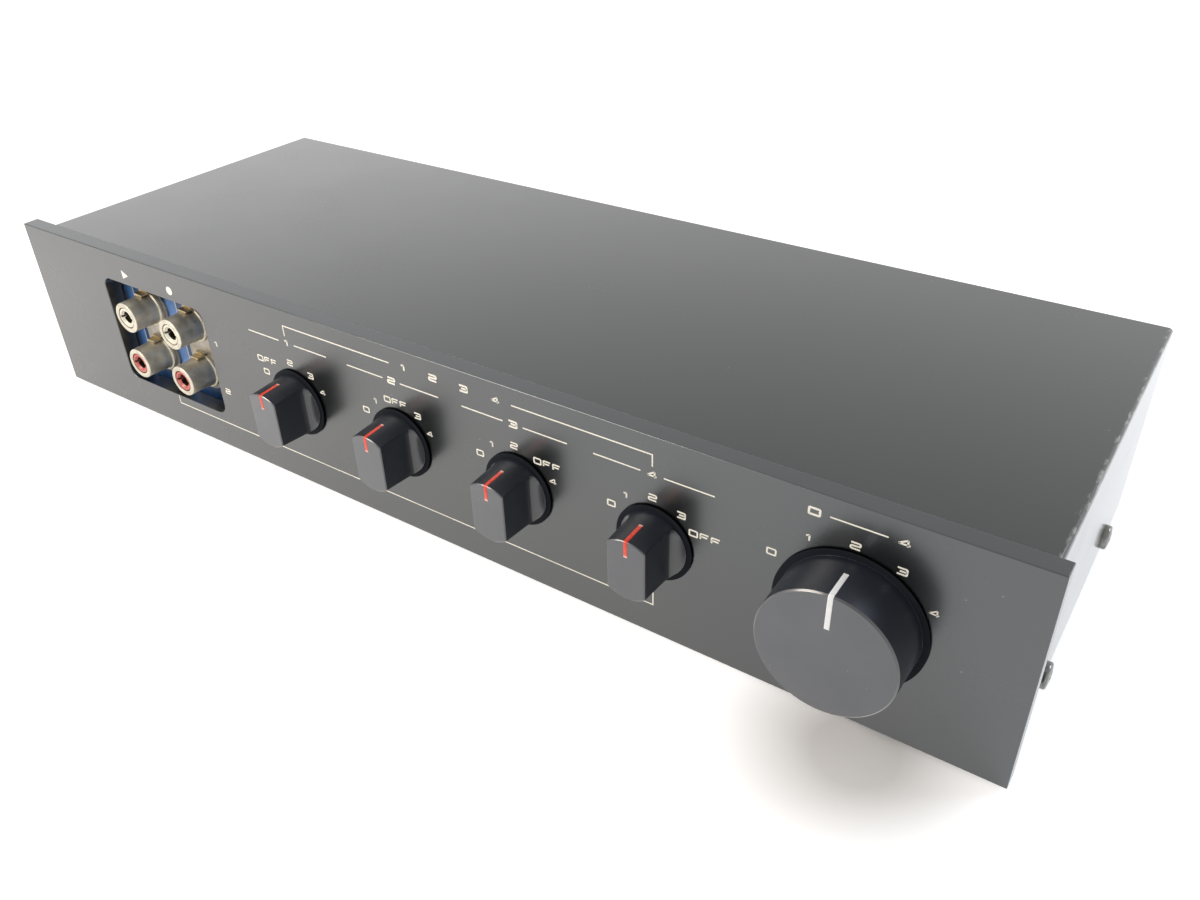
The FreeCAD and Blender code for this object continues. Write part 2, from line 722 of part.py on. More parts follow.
def make_earth_plate(tag, across, board_face, facing, with_tabs):
    """A thin round-ended plate under the two flanges of a column, with tabs bent over the shells."""
    reach = "earth_wide / 2"
    face = moved((across, board_face, "jack_axis"), facing, "washer_thick")[1]
    near = face if facing == "back" else f"{face} - earth_thick"
    parts = [block(f"earth_bar_{tag}", ("earth_wide", "earth_thick", "jack_pitch_up"),
                   (f"{across} - {reach}", near, "jack_axis - jack_pitch_up / 2"))]
    holes = []
    for level in (-1, 1):
        up = f"jack_axis + {level} * jack_pitch_up / 2"
        parts.append(rod(f"earth_end_{tag}{level + 1}", reach, "earth_thick", (across, face, up),
                         facing))
        holes.append(rod(f"earth_hole_{tag}{level + 1}", "insulator_radius + fit_gap", "earth_thick",
                         (across, face, up), facing))
        if with_tabs:
            over = f"{up} + flange_radius + fit_gap"
            onto = f"{up} + root_radius + fit_gap"
            front = f"{near} - flange_thick - fit_gap"
            for part, start, deep, low, tall in (
                    ("neck", near, "earth_thick", f"{up} + flange_radius * 2 / 3",
                     "flange_radius / 3 + fit_gap + tab_thick"),
                    ("roof", f"{front} - tab_thick",
                     "flange_thick + fit_gap + tab_thick + earth_thick", over, "tab_thick"),
                    ("riser", f"{front} - tab_thick", "tab_thick", onto,
                     "flange_radius - root_radius + tab_thick"),
                    ("tongue", f"{front} - tab_reach", "tab_reach", onto, "tab_thick")):
                parts.append(block(f"earth_{part}_{tag}{level + 1}", ("tab_wide", deep, tall),
                                   (f"{across} - tab_wide / 2", start, low)))
    return cut("earth_plate_" + tag, fuse("earth_blank_" + tag, *parts),
               fuse("earth_holes_" + tag, *holes))


def make_jacks():
    jacks = {"jack_shells": [], "white_insulators": [], "red_insulators": [], "jack_washers": [],
             "centre_contacts": []}
    for n, (across, up, level) in enumerate(front_jack_places):
        colour = "white" if level > 0 else "red"
        make_jack(f"front_{n}", (across, "wall_back", up), "front", colour, jacks)
    for n, (across, up, level) in enumerate(rear_jack_places):
        colour = "white" if level > 0 else "red"
        make_jack(f"rear_{n}", (across, "rear_board_face", up), "back", colour, jacks)
    for name, members in jacks.items():
        keep(group(name, members), name)
    plates = []
    for side in (-1, 1):
        plates.append(make_earth_plate(f"front_{side + 1}",
                                       f"jack_middle + {side} * jack_pitch_across / 2",
                                       "wall_back", "front", True))
        for n in range(4):
            middle = f"rear_middle + {n - 1.5} * rear_pitch + {side} * jack_pitch_across / 2"
            plates.append(make_earth_plate(f"rear_{n}{side + 1}", middle, "rear_board_face", "back",
                                           False))
    keep(group("earth_plates", plates), "earth_plates")


# Rotary switches: a bushed plate, an indexing cap, two wafers on tie screws, and a shaft with a
# twelve-sided indexing wheel, a blade and two rotors
def make_switch(tag, across, shared):
    axis = (across, "wall_back", "knob_axis")
    plate = block("plate_" + tag, ("plate_wide", "plate_thick", "plate_tall"),
                  (f"{across} - plate_wide / 2", "wall_back", "knob_axis - plate_tall / 2"))
    bush = rod("bush_" + tag, "bush_radius", "bush_long", axis, "front")
    cuts = [rod("bush_bore_" + tag, "shaft_radius + running_gap", "bush_long + plate_thick",
                moved(axis, "back", "plate_thick"), "front")]
    for level in (-1, 1):
        tie = (across, "wall_back", f"knob_axis + {level} * tie_up")
        cuts.append(rod(f"tie_hole_{tag}{level + 1}", "tie_radius + fit_gap", "plate_thick", tie,
                        "back"))
    keep(cut("frame_" + tag, fuse("frame_blank_" + tag, plate, bush),
             fuse("frame_cuts_" + tag, *cuts)), "switch_frame_" + tag)

    nut_place = moved(axis, "front", "tray_sheet + lock_thick")
    shared["switch_nuts"].append(cut("nut_" + tag,
                                     prism("nut_blank_" + tag, 6, "nut_corner", "nut_thick",
                                           nut_place, "front"),
                                     rod("nut_bore_" + tag, "bush_radius + fit_gap", "nut_thick",
                                         nut_place, "front")))
    shared["lock_washers"].append(tube("lock_" + tag, "lock_radius", "bush_radius + fit_gap",
                                       "lock_thick", moved(axis, "front", "tray_sheet"), "front"))

    cap_place = moved(axis, "back", "plate_thick")
    cap = rod("cap_blank_" + tag, "cap_radius", "cap_deep", cap_place, "back")
    room = rod("cap_room_" + tag, "cap_radius - cap_wall", "cap_deep - cap_wall", cap_place, "back")
    way = rod("cap_way_" + tag, "blade_wide", "cap_deep", cap_place, "back")
    shared["index_caps"].append(cut("cap_" + tag, cap, fuse("cap_cuts_" + tag, room, way)))

    wafers = []
    rotors = []
    for n in range(2):
        start = moved(axis, "back", f"wafer_front + {n} * wafer_pitch")
        disc = rod(f"wafer_disc_{tag}{n}", "wafer_radius", "wafer_thick", start, "back")
        ears = block(f"wafer_ears_{tag}{n}", ("ear_wide", "wafer_thick", "plate_tall"),
                     (f"{across} - ear_wide / 2", start[1], "knob_axis - plate_tall / 2"))
        holes = [rod(f"wafer_hole_{tag}{n}", "rotor_radius + rotor_gap", "wafer_thick", start, "back")]
        for level in (-1, 1):
            tie = (across, start[1], f"knob_axis + {level} * tie_up")
            holes.append(rod(f"wafer_tie_{tag}{n}{level + 1}", "tie_radius + fit_gap",
                             "wafer_thick", tie, "back"))
            length = "wafer_pitch - wafer_thick" if n else "wafer_front - plate_thick"
            shared["switch_spacers"].append(tube(f"switch_spacer_{tag}{n}{level + 1}",
                                                 "spacer_radius", "tie_radius + fit_gap", length,
                                                 tie, "front"))
        wafers.append(cut(f"wafer_{tag}{n}", fuse(f"wafer_blank_{tag}{n}", disc, ears),
                          fuse(f"wafer_cuts_{tag}{n}", *holes)))
        rotor = rod(f"rotor_disc_{tag}{n}", "rotor_radius", "wafer_thick", start, "back")
        slot = block(f"rotor_slot_{tag}{n}", ("blade_wide + 2 * blade_room", "wafer_thick",
                                              "blade_thick + 2 * blade_room"),
                     (f"{across} - blade_wide / 2 - blade_room", start[1],
                      "knob_axis - blade_thick / 2 - blade_room"))
        rotors.append(cut(f"rotor_{tag}{n}", rotor, slot))
        for step in range(-4, 5):
            angle = math.radians(30 * step)
            spot = (f"{across} + {math.sin(angle):.4f} * tag_ring", f"{start[1]} + wafer_thick",
                    f"knob_axis + {math.cos(angle):.4f} * tag_ring")
            if not (n and step == 0):
                shared["solder_tags"].append(rod(f"tag_{tag}{n}{step + 4}", "tag_radius", "tag_long",
                                                 spot, "back"))
    keep(group("wafers_" + tag, wafers), "wafers_" + tag)
    keep(group("rotors_" + tag, rotors), "rotors_" + tag)
    for level in (-1, 1):
        shared["tie_screws"].append(screw(f"tie_screw_{tag}{level + 1}",
                                          (across, "last_wafer_back", f"knob_axis + {level} * tie_up"),
                                          "back", "last_wafer_back - wall_back", "tie_radius",
                                          "tie_head", "tie_head_thick", "tie_radius * 1.4"))
    shared["ribbon_cables"].append(block("ribbon_" + tag,
                                         ("ribbon_wide",
                                          "rear_board_face - board_thick - last_wafer_back",
                                          "ribbon_thick"),
                                         (f"{across} - ribbon_wide / 2", "last_wafer_back",
                                          "knob_axis - ribbon_down - ribbon_thick / 2")))


def make_shaft(tag, across, bore_deep):
    """The shaft from its tip inside the knob to the end of the blade behind the last rotor."""
    tip = f"knob_back - {bore_deep} + shaft_end_gap"
    wheel_front = "plate_back + wheel_gap"
    stem = rod("stem_" + tag, "shaft_radius", f"{wheel_front} - ({tip})", (across, tip, "knob_axis"),
               "back")
    flat = block("shaft_flat_" + tag, ("2 * shaft_radius", "shaft_flat_long", "shaft_radius"),
                 (f"{across} - shaft_radius", tip, "knob_axis - shaft_flat - shaft_radius"))
    wheel = prism("index_wheel_" + tag, 12, "wheel_radius", "wheel_thick",
                  (across, wheel_front, "knob_axis"), "back")
    blade = block("blade_" + tag, ("blade_wide", "last_wafer_back + blade_spare - (plate_back)",
                                   "blade_thick"),
                  (f"{across} - blade_wide / 2", "plate_back", "knob_axis - blade_thick / 2"))
    keep(fuse("shaft_solid_" + tag, cut("stem_cut_" + tag, stem, flat), wheel, blade), "shaft_" + tag)


# Knobs: the blank comes with a copy grown by the pointer's height, from which the pointer is cut
def finish_knob(tag, across, blank, grown, deep, bore_deep, rim, mark):
    """Cut the bore, the grub screw hole and the pointer groove, and fill the last two."""
    wide, run, foot = mark
    front = f"knob_back - ({deep})"
    top_bar = block("mark_top_" + tag, (wide, f"{run} + mark_proud", "skirt_radius"),
                    (f"{across} - {wide} / 2", f"{front} - mark_proud",
                     f"knob_axis + {rim} - mark_sunk"))
    front_bar = block("mark_front_" + tag, (wide, "mark_sunk + mark_proud", "monitor_back_radius"),
                      (f"{across} - {wide} / 2", f"{front} - mark_proud", f"knob_axis + {foot}"))
    groove = fuse("groove_" + tag, top_bar, front_bar)
    bore = rod("knob_bore_" + tag, "shaft_radius + running_gap", bore_deep,
               (across, "knob_back", "knob_axis"), "front")
    grub_axis = (across, "knob_back - grub_back", "knob_axis")
    grub_hole = rod("grub_hole_" + tag, "grub_radius + screw_fit", "monitor_back_radius", grub_axis,
                    "down")
    keep(cut("knob_solid_" + tag, blank, fuse("knob_cuts_" + tag, groove, bore, grub_hole)),
         "knob_" + tag)
    keep(common("pointer_solid_" + tag, grown, groove), "pointer_" + tag)
    grub_tip = moved(grub_axis, "down", "shaft_flat + fit_gap")
    grub = rod("grub_" + tag, "grub_radius", "grub_long", grub_tip, "down")
    key = prism("grub_key_" + tag, 6, "grub_key", "grub_key_deep",
                moved(grub_tip, "down", "grub_long"), "up")
    keep(cut("grub_solid_" + tag, grub, key), "grub_screw_" + tag)


def make_selector_knob(tag, across):
    axis = (across, "knob_back", "knob_axis")
    grip_start = moved(axis, "front", "skirt_thick")
    deep = "skirt_thick + grip_deep"
    skirt = rod("skirt_" + tag, "skirt_radius", "skirt_thick", axis, "front")
    round_grip = cone("round_grip_" + tag, "grip_back_radius", "grip_front_radius", "grip_deep",
                      grip_start, "front")
    flare = cone("grip_flare_" + tag, "grip_flare_radius", "grip_front_radius", "grip_flare",
                 grip_start, "front")
    slab = block("grip_slab_" + tag, ("2 * grip_half", "grip_deep", "2 * skirt_radius"),
                 (f"{across} - grip_half", f"knob_back - ({deep})", "knob_axis - skirt_radius"))
    flared_grip = fuse("flared_grip_" + tag, round_grip, flare)
    blank = fuse("knob_blank_" + tag, skirt, common("grip_" + tag, flared_grip, slab))
    grown = cone("grown_grip_" + tag, "grip_back_radius + mark_proud",
                 "grip_front_radius + mark_proud", "grip_deep + mark_proud", grip_start, "front")
    finish_knob(tag, across, blank, grown, deep, "grip_bore", "grip_front_radius",
                ("grip_mark_wide", "grip_mark_run", "grip_mark_foot"))
    make_shaft(tag, across, "grip_bore")


def make_monitor_knob(tag, across):
    axis = (across, "knob_back", "knob_axis")
    skirt = rod("monitor_skirt_disc", "monitor_back_radius", "monitor_skirt", axis, "front")
    flare = cone("monitor_flare_cone", "monitor_back_radius", "monitor_front_radius",
                 "monitor_flare", moved(axis, "front", "monitor_skirt"), "front")
    side = rod("monitor_side", "monitor_front_radius", "monitor_deep - monitor_rim", axis, "front")
    rim = cone("monitor_bevel", "monitor_front_radius", "monitor_front_radius - monitor_rim",
               "monitor_rim", moved(axis, "front", "monitor_deep - monitor_rim"), "front")
    blank = fuse("knob_blank_" + tag, skirt, flare, side, rim)
    grown = rod("grown_side", "monitor_front_radius + mark_proud", "monitor_deep + mark_proud",
                axis, "front")
    finish_knob(tag, across, blank, grown, "monitor_deep", "monitor_bore", "monitor_front_radius",
                ("monitor_mark_wide", "monitor_mark_run", "monitor_mark_foot"))
    make_shaft(tag, across, "monitor_bore")


def make_switches():
    shared = {"switch_nuts": [], "lock_washers": [], "index_caps": [], "switch_spacers": [],
              "solder_tags": [], "tie_screws": [], "ribbon_cables": []}
    for tag, across in SWITCHES:
        make_switch(tag, across, shared)
        if tag == "monitor":
            make_monitor_knob(tag, across)
        else:
            make_selector_knob(tag, across)
    shared["ribbon_cables"].append(block("ribbon_front_jacks",
                                         ("ribbon_wide",
                                          "rear_board_face - 2 * board_thick - (wall_back)",
                                          "ribbon_thick"),
                                         ("jack_middle - ribbon_wide / 2", "wall_back + board_thick",
                                          "knob_axis - ribbon_down - ribbon_thick / 2")))
    for name, members in shared.items():
        keep(group(name, members), name)


make_front_panel()
make_top_cover()
make_chassis_tray()
make_case_screws()
make_feet()
make_boards()
make_jacks()
make_switches()
doc.recompute()

for thing in doc.Objects:
    bad = [state for state in thing.State if state in ("Invalid", "Error")]
    if bad:
        raise RuntimeError(f"{thing.Name} did not rebuild: {thing.State}")
for piece in nodes:
    shape = piece.Shape
    if shape.isNull() or not shape.isValid() or not shape.Solids:
        raise RuntimeError(f"{piece.Label} has no valid solid")

os.makedirs("parts", exist_ok=True)
for piece in nodes:
    piece.Shape.exportStep(f"parts/{piece.Label}.step")
    print(f"{piece.Label}: {len(piece.Shape.Solids)} solids, {piece.Shape.Volume:.1f} mm3")
print(f"{len(nodes)} pieces")
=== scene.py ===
import math

import bmesh
import bpy
import numpy as np
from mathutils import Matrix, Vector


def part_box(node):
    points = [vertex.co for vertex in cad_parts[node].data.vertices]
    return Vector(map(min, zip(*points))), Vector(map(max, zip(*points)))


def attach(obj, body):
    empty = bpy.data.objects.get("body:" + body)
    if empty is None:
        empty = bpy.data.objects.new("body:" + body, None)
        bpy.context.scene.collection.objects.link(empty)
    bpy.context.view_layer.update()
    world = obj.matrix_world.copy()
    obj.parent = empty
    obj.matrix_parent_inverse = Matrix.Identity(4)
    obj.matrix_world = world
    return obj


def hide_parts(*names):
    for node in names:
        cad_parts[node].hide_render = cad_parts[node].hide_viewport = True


# Tape deck selector: a low black box with a thick anodised front panel, four small selector
# knobs and a large monitor knob, four phono jacks in a front window and sixteen at the back.
# The piece shapes are worked out in millimetres and turned to metres as each mesh is made.

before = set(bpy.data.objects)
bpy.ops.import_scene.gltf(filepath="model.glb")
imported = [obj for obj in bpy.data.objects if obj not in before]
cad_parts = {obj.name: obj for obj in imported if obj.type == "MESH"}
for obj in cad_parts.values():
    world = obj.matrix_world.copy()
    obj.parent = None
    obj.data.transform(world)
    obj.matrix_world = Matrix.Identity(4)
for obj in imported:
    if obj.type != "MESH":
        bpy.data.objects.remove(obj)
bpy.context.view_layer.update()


# ---- Chassis tray and cover -------------------------------------------------------------
# The tray is one folded steel sheet that carries everything. The cover is a second sheet,
# bent down at both ends and slid over it. Both are sprayed satin black and baked.

def linear(code):
    """The linear colour of an sRGB hex value: a 12.92th of it near black, else its 2.4th power."""
    srgb = np.array([int(code[i:i + 2], 16) for i in (1, 3, 5)]) / 255
    flat = np.where(srgb <= 0.04045, srgb / 12.92, ((srgb + 0.055) / 1.055) ** 2.4)
    return (*flat.tolist(), 1.0)


def per(size):
    """Texture scale at which a pattern's features are this many millimetres apart."""
    return 1000.0 / size


def add(tree, kind, sockets=None, **settings):
    """Add one node: settings are its properties, and sockets its inputs by name or number,
    each a plain value or another node's output."""
    node = tree.nodes.new(kind)
    for name, value in settings.items():
        setattr(node, name, value)
    for name, value in (sockets or {}).items():
        if isinstance(value, bpy.types.NodeSocket):
            tree.links.new(value, node.inputs[name])
        else:
            node.inputs[name].default_value = value
    return node


def new_finish(name, sockets):
    """A material with one Principled shader, and the place on the piece that its patterns read."""
    finish = bpy.data.materials.new(name)
    finish.use_nodes = True
    tree = finish.node_tree
    shader = tree.nodes["Principled BSDF"]
    for socket, value in sockets.items():
        shader.inputs[socket].default_value = value
    place = add(tree, "ShaderNodeTexCoord").outputs["Object"]
    return finish, tree, shader, place


def patches(tree, place, size, low, high, detail=3.0):
    """A value that wanders between low and high over patches of this many millimetres."""
    noise = add(tree, "ShaderNodeTexNoise", {"Vector": place, "Scale": per(size), "Detail": detail})
    return add(tree, "ShaderNodeMapRange",
               {"Value": noise.outputs["Fac"], "From Min": 0.3, "From Max": 0.7,
                "To Min": low, "To Max": high}).outputs["Result"]


def specks(tree, place, apart, full, none, share):
    """How strongly specks of dust cover each point. One lies in every cube this many millimetres
    wide: it covers this share within full of its middle, and nothing past none, both in cubes."""
    dots = add(tree, "ShaderNodeTexVoronoi", {"Vector": place, "Scale": per(apart)})
    return add(tree, "ShaderNodeMapRange",
               {"Value": dots.outputs["Distance"], "From Min": full, "From Max": none,
                "To Min": share, "To Max": 0.0}).outputs["Result"]


def paint_over(tree, shader, colour, share, code):
    """Show a second colour over a shader's own one, by a share that differs from point to point."""
    both = add(tree, "ShaderNodeMix", {0: share, 6: colour, 7: linear(code)}, data_type="RGBA")
    tree.links.new(both.outputs[2], shader.inputs["Base Color"])


def dapple(tree, shader, place, size, dark, light, rough, relief=None):
    """Wire a shader's colour, roughness and relief to soft patches: dark and light are the two
    colours, rough the two roughnesses, and relief the size and depth of its bumps in mm."""
    colour = add(tree, "ShaderNodeMix", {0: patches(tree, place, size, 0.0, 1.0),
                                         6: linear(dark), 7: linear(light)}, data_type="RGBA")
    tree.links.new(colour.outputs[2], shader.inputs["Base Color"])
    tree.links.new(patches(tree, place, size / 3, *rough), shader.inputs["Roughness"])
    if relief:
        bumps = add(tree, "ShaderNodeTexNoise",
                    {"Vector": place, "Scale": per(relief[0]), "Detail": 2.0})
        bump = add(tree, "ShaderNodeBump", {"Height": bumps.outputs["Fac"],
                                            "Distance": relief[1] / 1000, "Strength": 1.0})
        tree.links.new(bump.outputs["Normal"], shader.inputs["Normal"])
    return colour.outputs[2]


def skin(grid, ring=False):
    """Quads between the neighbours of a grid of points [row, column, xyz]. The last column joins
    the first. A ring's last row joins its first, and otherwise a face closes each end row."""
    rows, columns = grid.shape[:2]
    number = np.arange(rows * columns).reshape(rows, columns)
    down = np.vstack([number, number[:1]]) if ring else number
    across = np.hstack([down, down[:, :1]])
    quads = np.stack([across[:-1, :-1], across[:-1, 1:], across[1:, 1:], across[1:, :-1]], -1)
    ends = [] if ring else [number[0].tolist(), number[-1][::-1].tolist()]
    return grid.reshape(-1, 3), quads.reshape(-1, 4).tolist() + ends


def build(name, skins, finish, body, stands_for=(), sharp=35, soft=0.0):
    """One piece from skins in millimetres: poles are closed, faces turned outwards, edges under
    the sharp angle shaded smooth, and the sharp ones rounded by soft millimetres."""
    starts = np.cumsum([0] + [len(points) for points, _ in skins])
    faces = [[start + i for i in face] for start, (_, some) in zip(starts, skins) for face in some]
    mesh = bpy.data.meshes.new(name)
    mesh.from_pydata(np.vstack([points for points, _ in skins]) / 1000, [], faces)
    work = bmesh.new()
    work.from_mesh(mesh)
    bmesh.ops.remove_doubles(work, verts=work.verts, dist=1e-6)
    bmesh.ops.recalc_face_normals(work, faces=work.faces)
    work.to_mesh(mesh)
    work.free()
    mesh.shade_smooth()
    mesh.set_sharp_from_angle(angle=math.radians(sharp))
    mesh.materials.append(finish)
    thing = bpy.data.objects.new(name, mesh)
    bpy.context.scene.collection.objects.link(thing)
    if soft:
        bevel = thing.modifiers.new("rounded_edges", "BEVEL")
        bevel.width = soft / 1000
        bevel.segments = 3
        bevel.limit_method = "ANGLE"
        bevel.angle_limit = math.radians(sharp)
        bevel.harden_normals = True
    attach(thing, body)
    if stands_for:
        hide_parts(*stands_for)
    return thing


def dress(finish, *names):
    """Give CAD nodes, whose meshes stay as they are, this finish."""
    for name in names:
        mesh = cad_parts[name].data
        mesh.materials.clear()
        mesh.materials.append(finish)


def corners(name):
    """Lowest and highest corner of a CAD node, in millimetres."""
    return [np.array(corner) * 1000 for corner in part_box(name)]


def eased(path, cut):
    """A path whose inner corners are rounded: each is cut back by this much on both sides, or by
    nearly half of a side that is short, and a parabola of seven points joins the two cuts. A
    short side at either end of the path may be used up whole."""
    path = np.array(path, float)
    cut = np.broadcast_to(cut, len(path) - 2)[:, None]
    legs = np.linalg.norm(np.diff(path, axis=0), axis=1)[:, None]
    most = np.full_like(legs, 0.48)
    most[[0, -1]] = 0.98
    before = path[1:-1] + (path[:-2] - path[1:-1]) * np.minimum(cut / legs[:-1], most[:-1])
    after = path[1:-1] + (path[2:] - path[1:-1]) * np.minimum(cut / legs[1:], most[1:])
    t = np.linspace(0, 1, 7)[:, None, None]
    bends = (1 - t) ** 2 * before + 2 * t * (1 - t) * path[1:-1] + t ** 2 * after
    return np.vstack([path[:1], bends.transpose(1, 0, 2).reshape(-1, path.shape[1]), path[-1:]])


def normals(path):
    """At each point of a flat path, the way to its left, stretched so that a strip of constant
    width keeps it round a corner: the sum of the two sides' normals over one plus their product."""
    along = np.diff(path, axis=0)
    left = np.stack([-along[:, 1], along[:, 0]], 1) / np.linalg.norm(along, axis=1)[:, None]
    before, after = np.vstack([left[:1], left]), np.vstack([left, left[-1:]])
    return (before + after) / (1 + (before * after).sum(1))[:, None]


# Satin black stoving paint over steel: near black, a soft sheen that grows at grazing angles,
# and a faint orange peel. A little dust lies on the cover, and the paint is chipped to pale
# metal along its right bend, where it is thinnest.
def satin_paint(name, chipped):
    finish, tree, shader, place = new_finish(
        name, {"IOR": 1.5, "Coat Weight": 1.0, "Coat Roughness": 0.12})
    colour = dapple(tree, shader, place, 60, "#1a1d1d", "#1e2121", (0.22, 0.28), (0.9, 0.0012))
    if chipped:
        low, high = corners("top_cover")
        where = add(tree, "ShaderNodeSeparateXYZ", {"Vector": place})
        side = add(tree, "ShaderNodeMapRange",
                   {"Value": where.outputs["X"], "From Min": (high[0] - 1.3) / 1000,
                    "From Max": (high[0] - 0.5) / 1000, "To Min": 0.0, "To Max": 1.0},
                   interpolation_type="SMOOTHSTEP")
        top = add(tree, "ShaderNodeMapRange",
                  {"Value": where.outputs["Z"], "From Min": (high[2] - 1.8) / 1000,
                   "From Max": (high[2] - 0.6) / 1000, "To Min": 0.0, "To Max": 1.0},
                  interpolation_type="SMOOTHSTEP")
        bend = add(tree, "ShaderNodeMath", {0: side.outputs[0], 1: top.outputs[0]},
                   operation="MULTIPLY")
        # the chips are about three times as long as they are wide
        drawn_out = add(tree, "ShaderNodeVectorMath", {0: place, 1: (1.0, 0.3, 1.0)},
                        operation="MULTIPLY").outputs[0]
        chip = add(tree, "ShaderNodeMapRange",
                   {"Value": patches(tree, drawn_out, 0.8, 0.0, 1.0, 5.0), "From Min": 0.55,
                    "From Max": 0.8, "To Min": 0.0, "To Max": 0.6})
        worn = add(tree, "ShaderNodeMath", {0: bend.outputs[0], 1: chip.outputs[0]},
                   operation="MULTIPLY")
        marks = add(tree, "ShaderNodeMath",
                    {0: worn.outputs[0], 1: specks(tree, place, 7.0, 0.015, 0.03, 0.3)},
                    operation="MAXIMUM")
        paint_over(tree, shader, colour, marks.outputs[0], "#b3b2a6")
    return finish


tray_paint = satin_paint("black_satin_paint", chipped=False)
dress(tray_paint, "chassis_tray")

cover_paint = satin_paint("black_satin_paint_cover", chipped=True)
sheet_thick, bend_cut = 1.0, 0.6
low, high = corners("top_cover")
inset = sheet_thick / 2
fold = eased([(low[0] + inset, low[2]), (low[0] + inset, high[2] - inset),
              (high[0] - inset, high[2] - inset), (high[0] - inset, low[2])], bend_cut)
out = normals(fold) * inset
loop = np.stack([np.insert(side, 1, y, axis=1) for side, y in
                 ((fold + out, low[1]), (fold + out, high[1]),
                  (fold - out, high[1]), (fold - out, low[1]))], 1)
build("top_cover_sheet", [skin(loop)], cover_paint, "box", ["top_cover"],
      sharp=50, soft=0.15)


# ---- Front panel ------------------------------------------------------------------------
# A 4.3 mm aluminium plate, blasted to a fine satin and dyed black in the anodising bath. Its
# window is milled with round corners, and every outer edge is just broken.

def rounded_rectangle(low, high, radius):
    """Points round a rectangle in x and z: at each corner a quarter circle of this radius."""
    turn = np.linspace(0, np.pi / 2, 9)
    quarters = [(high[0], high[1], 0), (low[0], high[1], 1),
                (low[0], low[1], 2), (high[0], low[1], 3)]
    return np.vstack([np.stack([x + radius * (np.cos(turn + q * np.pi / 2) - (1, -1, -1, 1)[q]),
                                z + radius * (np.sin(turn + q * np.pi / 2) - (1, 1, -1, -1)[q])], 1)
                      for x, z, q in quarters])


# Black anodised aluminium: dark metal seen through a clear hard oxide, which is the coat here.
# Both are fine blasted, so the knobs' reflections are soft, and a little dust lies on it. The
# blasted grain is finer than a pixel, so it is drawn coarser, 0.12 mm wide.
panel_finish, tree, shader, place = new_finish(
    "black_anodised_aluminium", {"Metallic": 1.0, "Coat Weight": 1.0, "Coat Roughness": 0.25})
colour = dapple(tree, shader, place, 45, "#515456", "#545758", (0.27, 0.29), (0.12, 0.0004))
paint_over(tree, shader, colour, specks(tree, place, 7.0, 0.015, 0.03, 0.3), "#a9aaa8")

window_place, window_size, window_round = (32.8, 10.45), (40.5, 30.4), 3.0
low, high = corners("front_panel")
window_low = low[[0, 2]] + window_place
outer = rounded_rectangle(low[[0, 2]], high[[0, 2]], 0.0)
inner = rounded_rectangle(window_low, window_low + window_size, window_round)
loop = np.stack([np.insert(line, 1, y, axis=1) for line, y in
                 ((inner, high[1]), (inner, low[1]), (outer, low[1]), (outer, high[1]))])
build("front_panel_plate", [skin(loop, ring=True)], panel_finish, "box",
      ["front_panel"], sharp=50, soft=0.22)
face = low[1]


# ---- Printed legends --------------------------------------------------------------------
# Cream ink, screen printed on the anodised face: plain dial numbers, OFF, and the thin lines
# that join the knobs. The four groups of jacks at the back are numbered in the same ink.

ink_high = 0.02                             # how far the ink stands out from its face
ink_sunk = 0.01                             # how far its back lies below, so that no gap shows
glyphs = {                                  # strokes on a square one unit wide and high
    "0": [[(0.5, 0), (0, 0), (0, 1), (1, 1), (1, 0), (0.5, 0)]],
    "1": [[(0.25, 0.8), (0.62, 1)], [(0.62, 1), (0.62, 0)]],
    "2": [[(0, 1), (1, 1), (1, 0.52), (0, 0.48), (0, 0), (1, 0)]],
    "3": [[(0, 1), (1, 1), (1, 0), (0, 0)], [(0.25, 0.5), (1, 0.5)]],
    "4": [[(0.78, 0), (0.78, 1)], [(0.78, 1), (0, 0.26)], [(0, 0.26), (1, 0.26)]],
    "F": [[(0, 0), (0, 1), (1, 1)], [(0, 0.5), (0.85, 0.5)]],
}
glyphs["O"] = glyphs["0"]


def ribbon(path, wide, y, rise):
    """A flat printed line: a strip of this width along a path in x and z, with its back at y and
    its outside at y plus rise, which is negative on the front. A path that ends where it starts
    becomes a closed loop."""
    side = normals(path) * wide / 2
    columns = [np.insert(path + s * side, 1, y + d, axis=1)
               for s, d in ((-1, 0), (-1, rise), (1, rise), (1, 0))]
    loop = np.allclose(path[0], path[-1])
    return skin(np.stack(columns, 1)[:len(path) - loop], ring=loop)


def lettered(text, middle, tall, wide, line, y, rise, turn=1):
    """The strokes of a short text centred on a point: each sign is wide by tall, with a gap of
    a seventh of its width between them. Turn is -1 for a face that is read from behind. A 4
    has thinner strokes, which keep its small triangle open."""
    step = wide * 1.15
    left = middle[0] - turn * (step * (len(text) - 1) + wide) / 2
    made = []
    for n, sign in enumerate(text):
        for stroke in glyphs[sign]:
            path = eased(stroke, 0.16) if len(stroke) > 2 else np.array(stroke, float)
            path = path * (wide - line, tall - line) + (line / 2, line / 2)
            path[:, 0] = left + turn * (n * step + path[:, 0])
            path[:, 1] += middle[1] - tall / 2
            made.append(ribbon(path, line * (0.75 if sign == "4" else 1), y, rise))
    return made


# Screen ink: matt, a warm cream, a little uneven where it was pulled over the blasted face.
cream_ink, tree, shader, place = new_finish("cream_screen_ink", {"IOR": 1.5})
dapple(tree, shader, place, 1.5, "#f4f1e2", "#fbf9ee", (0.5, 0.6), (0.2, 0.001))

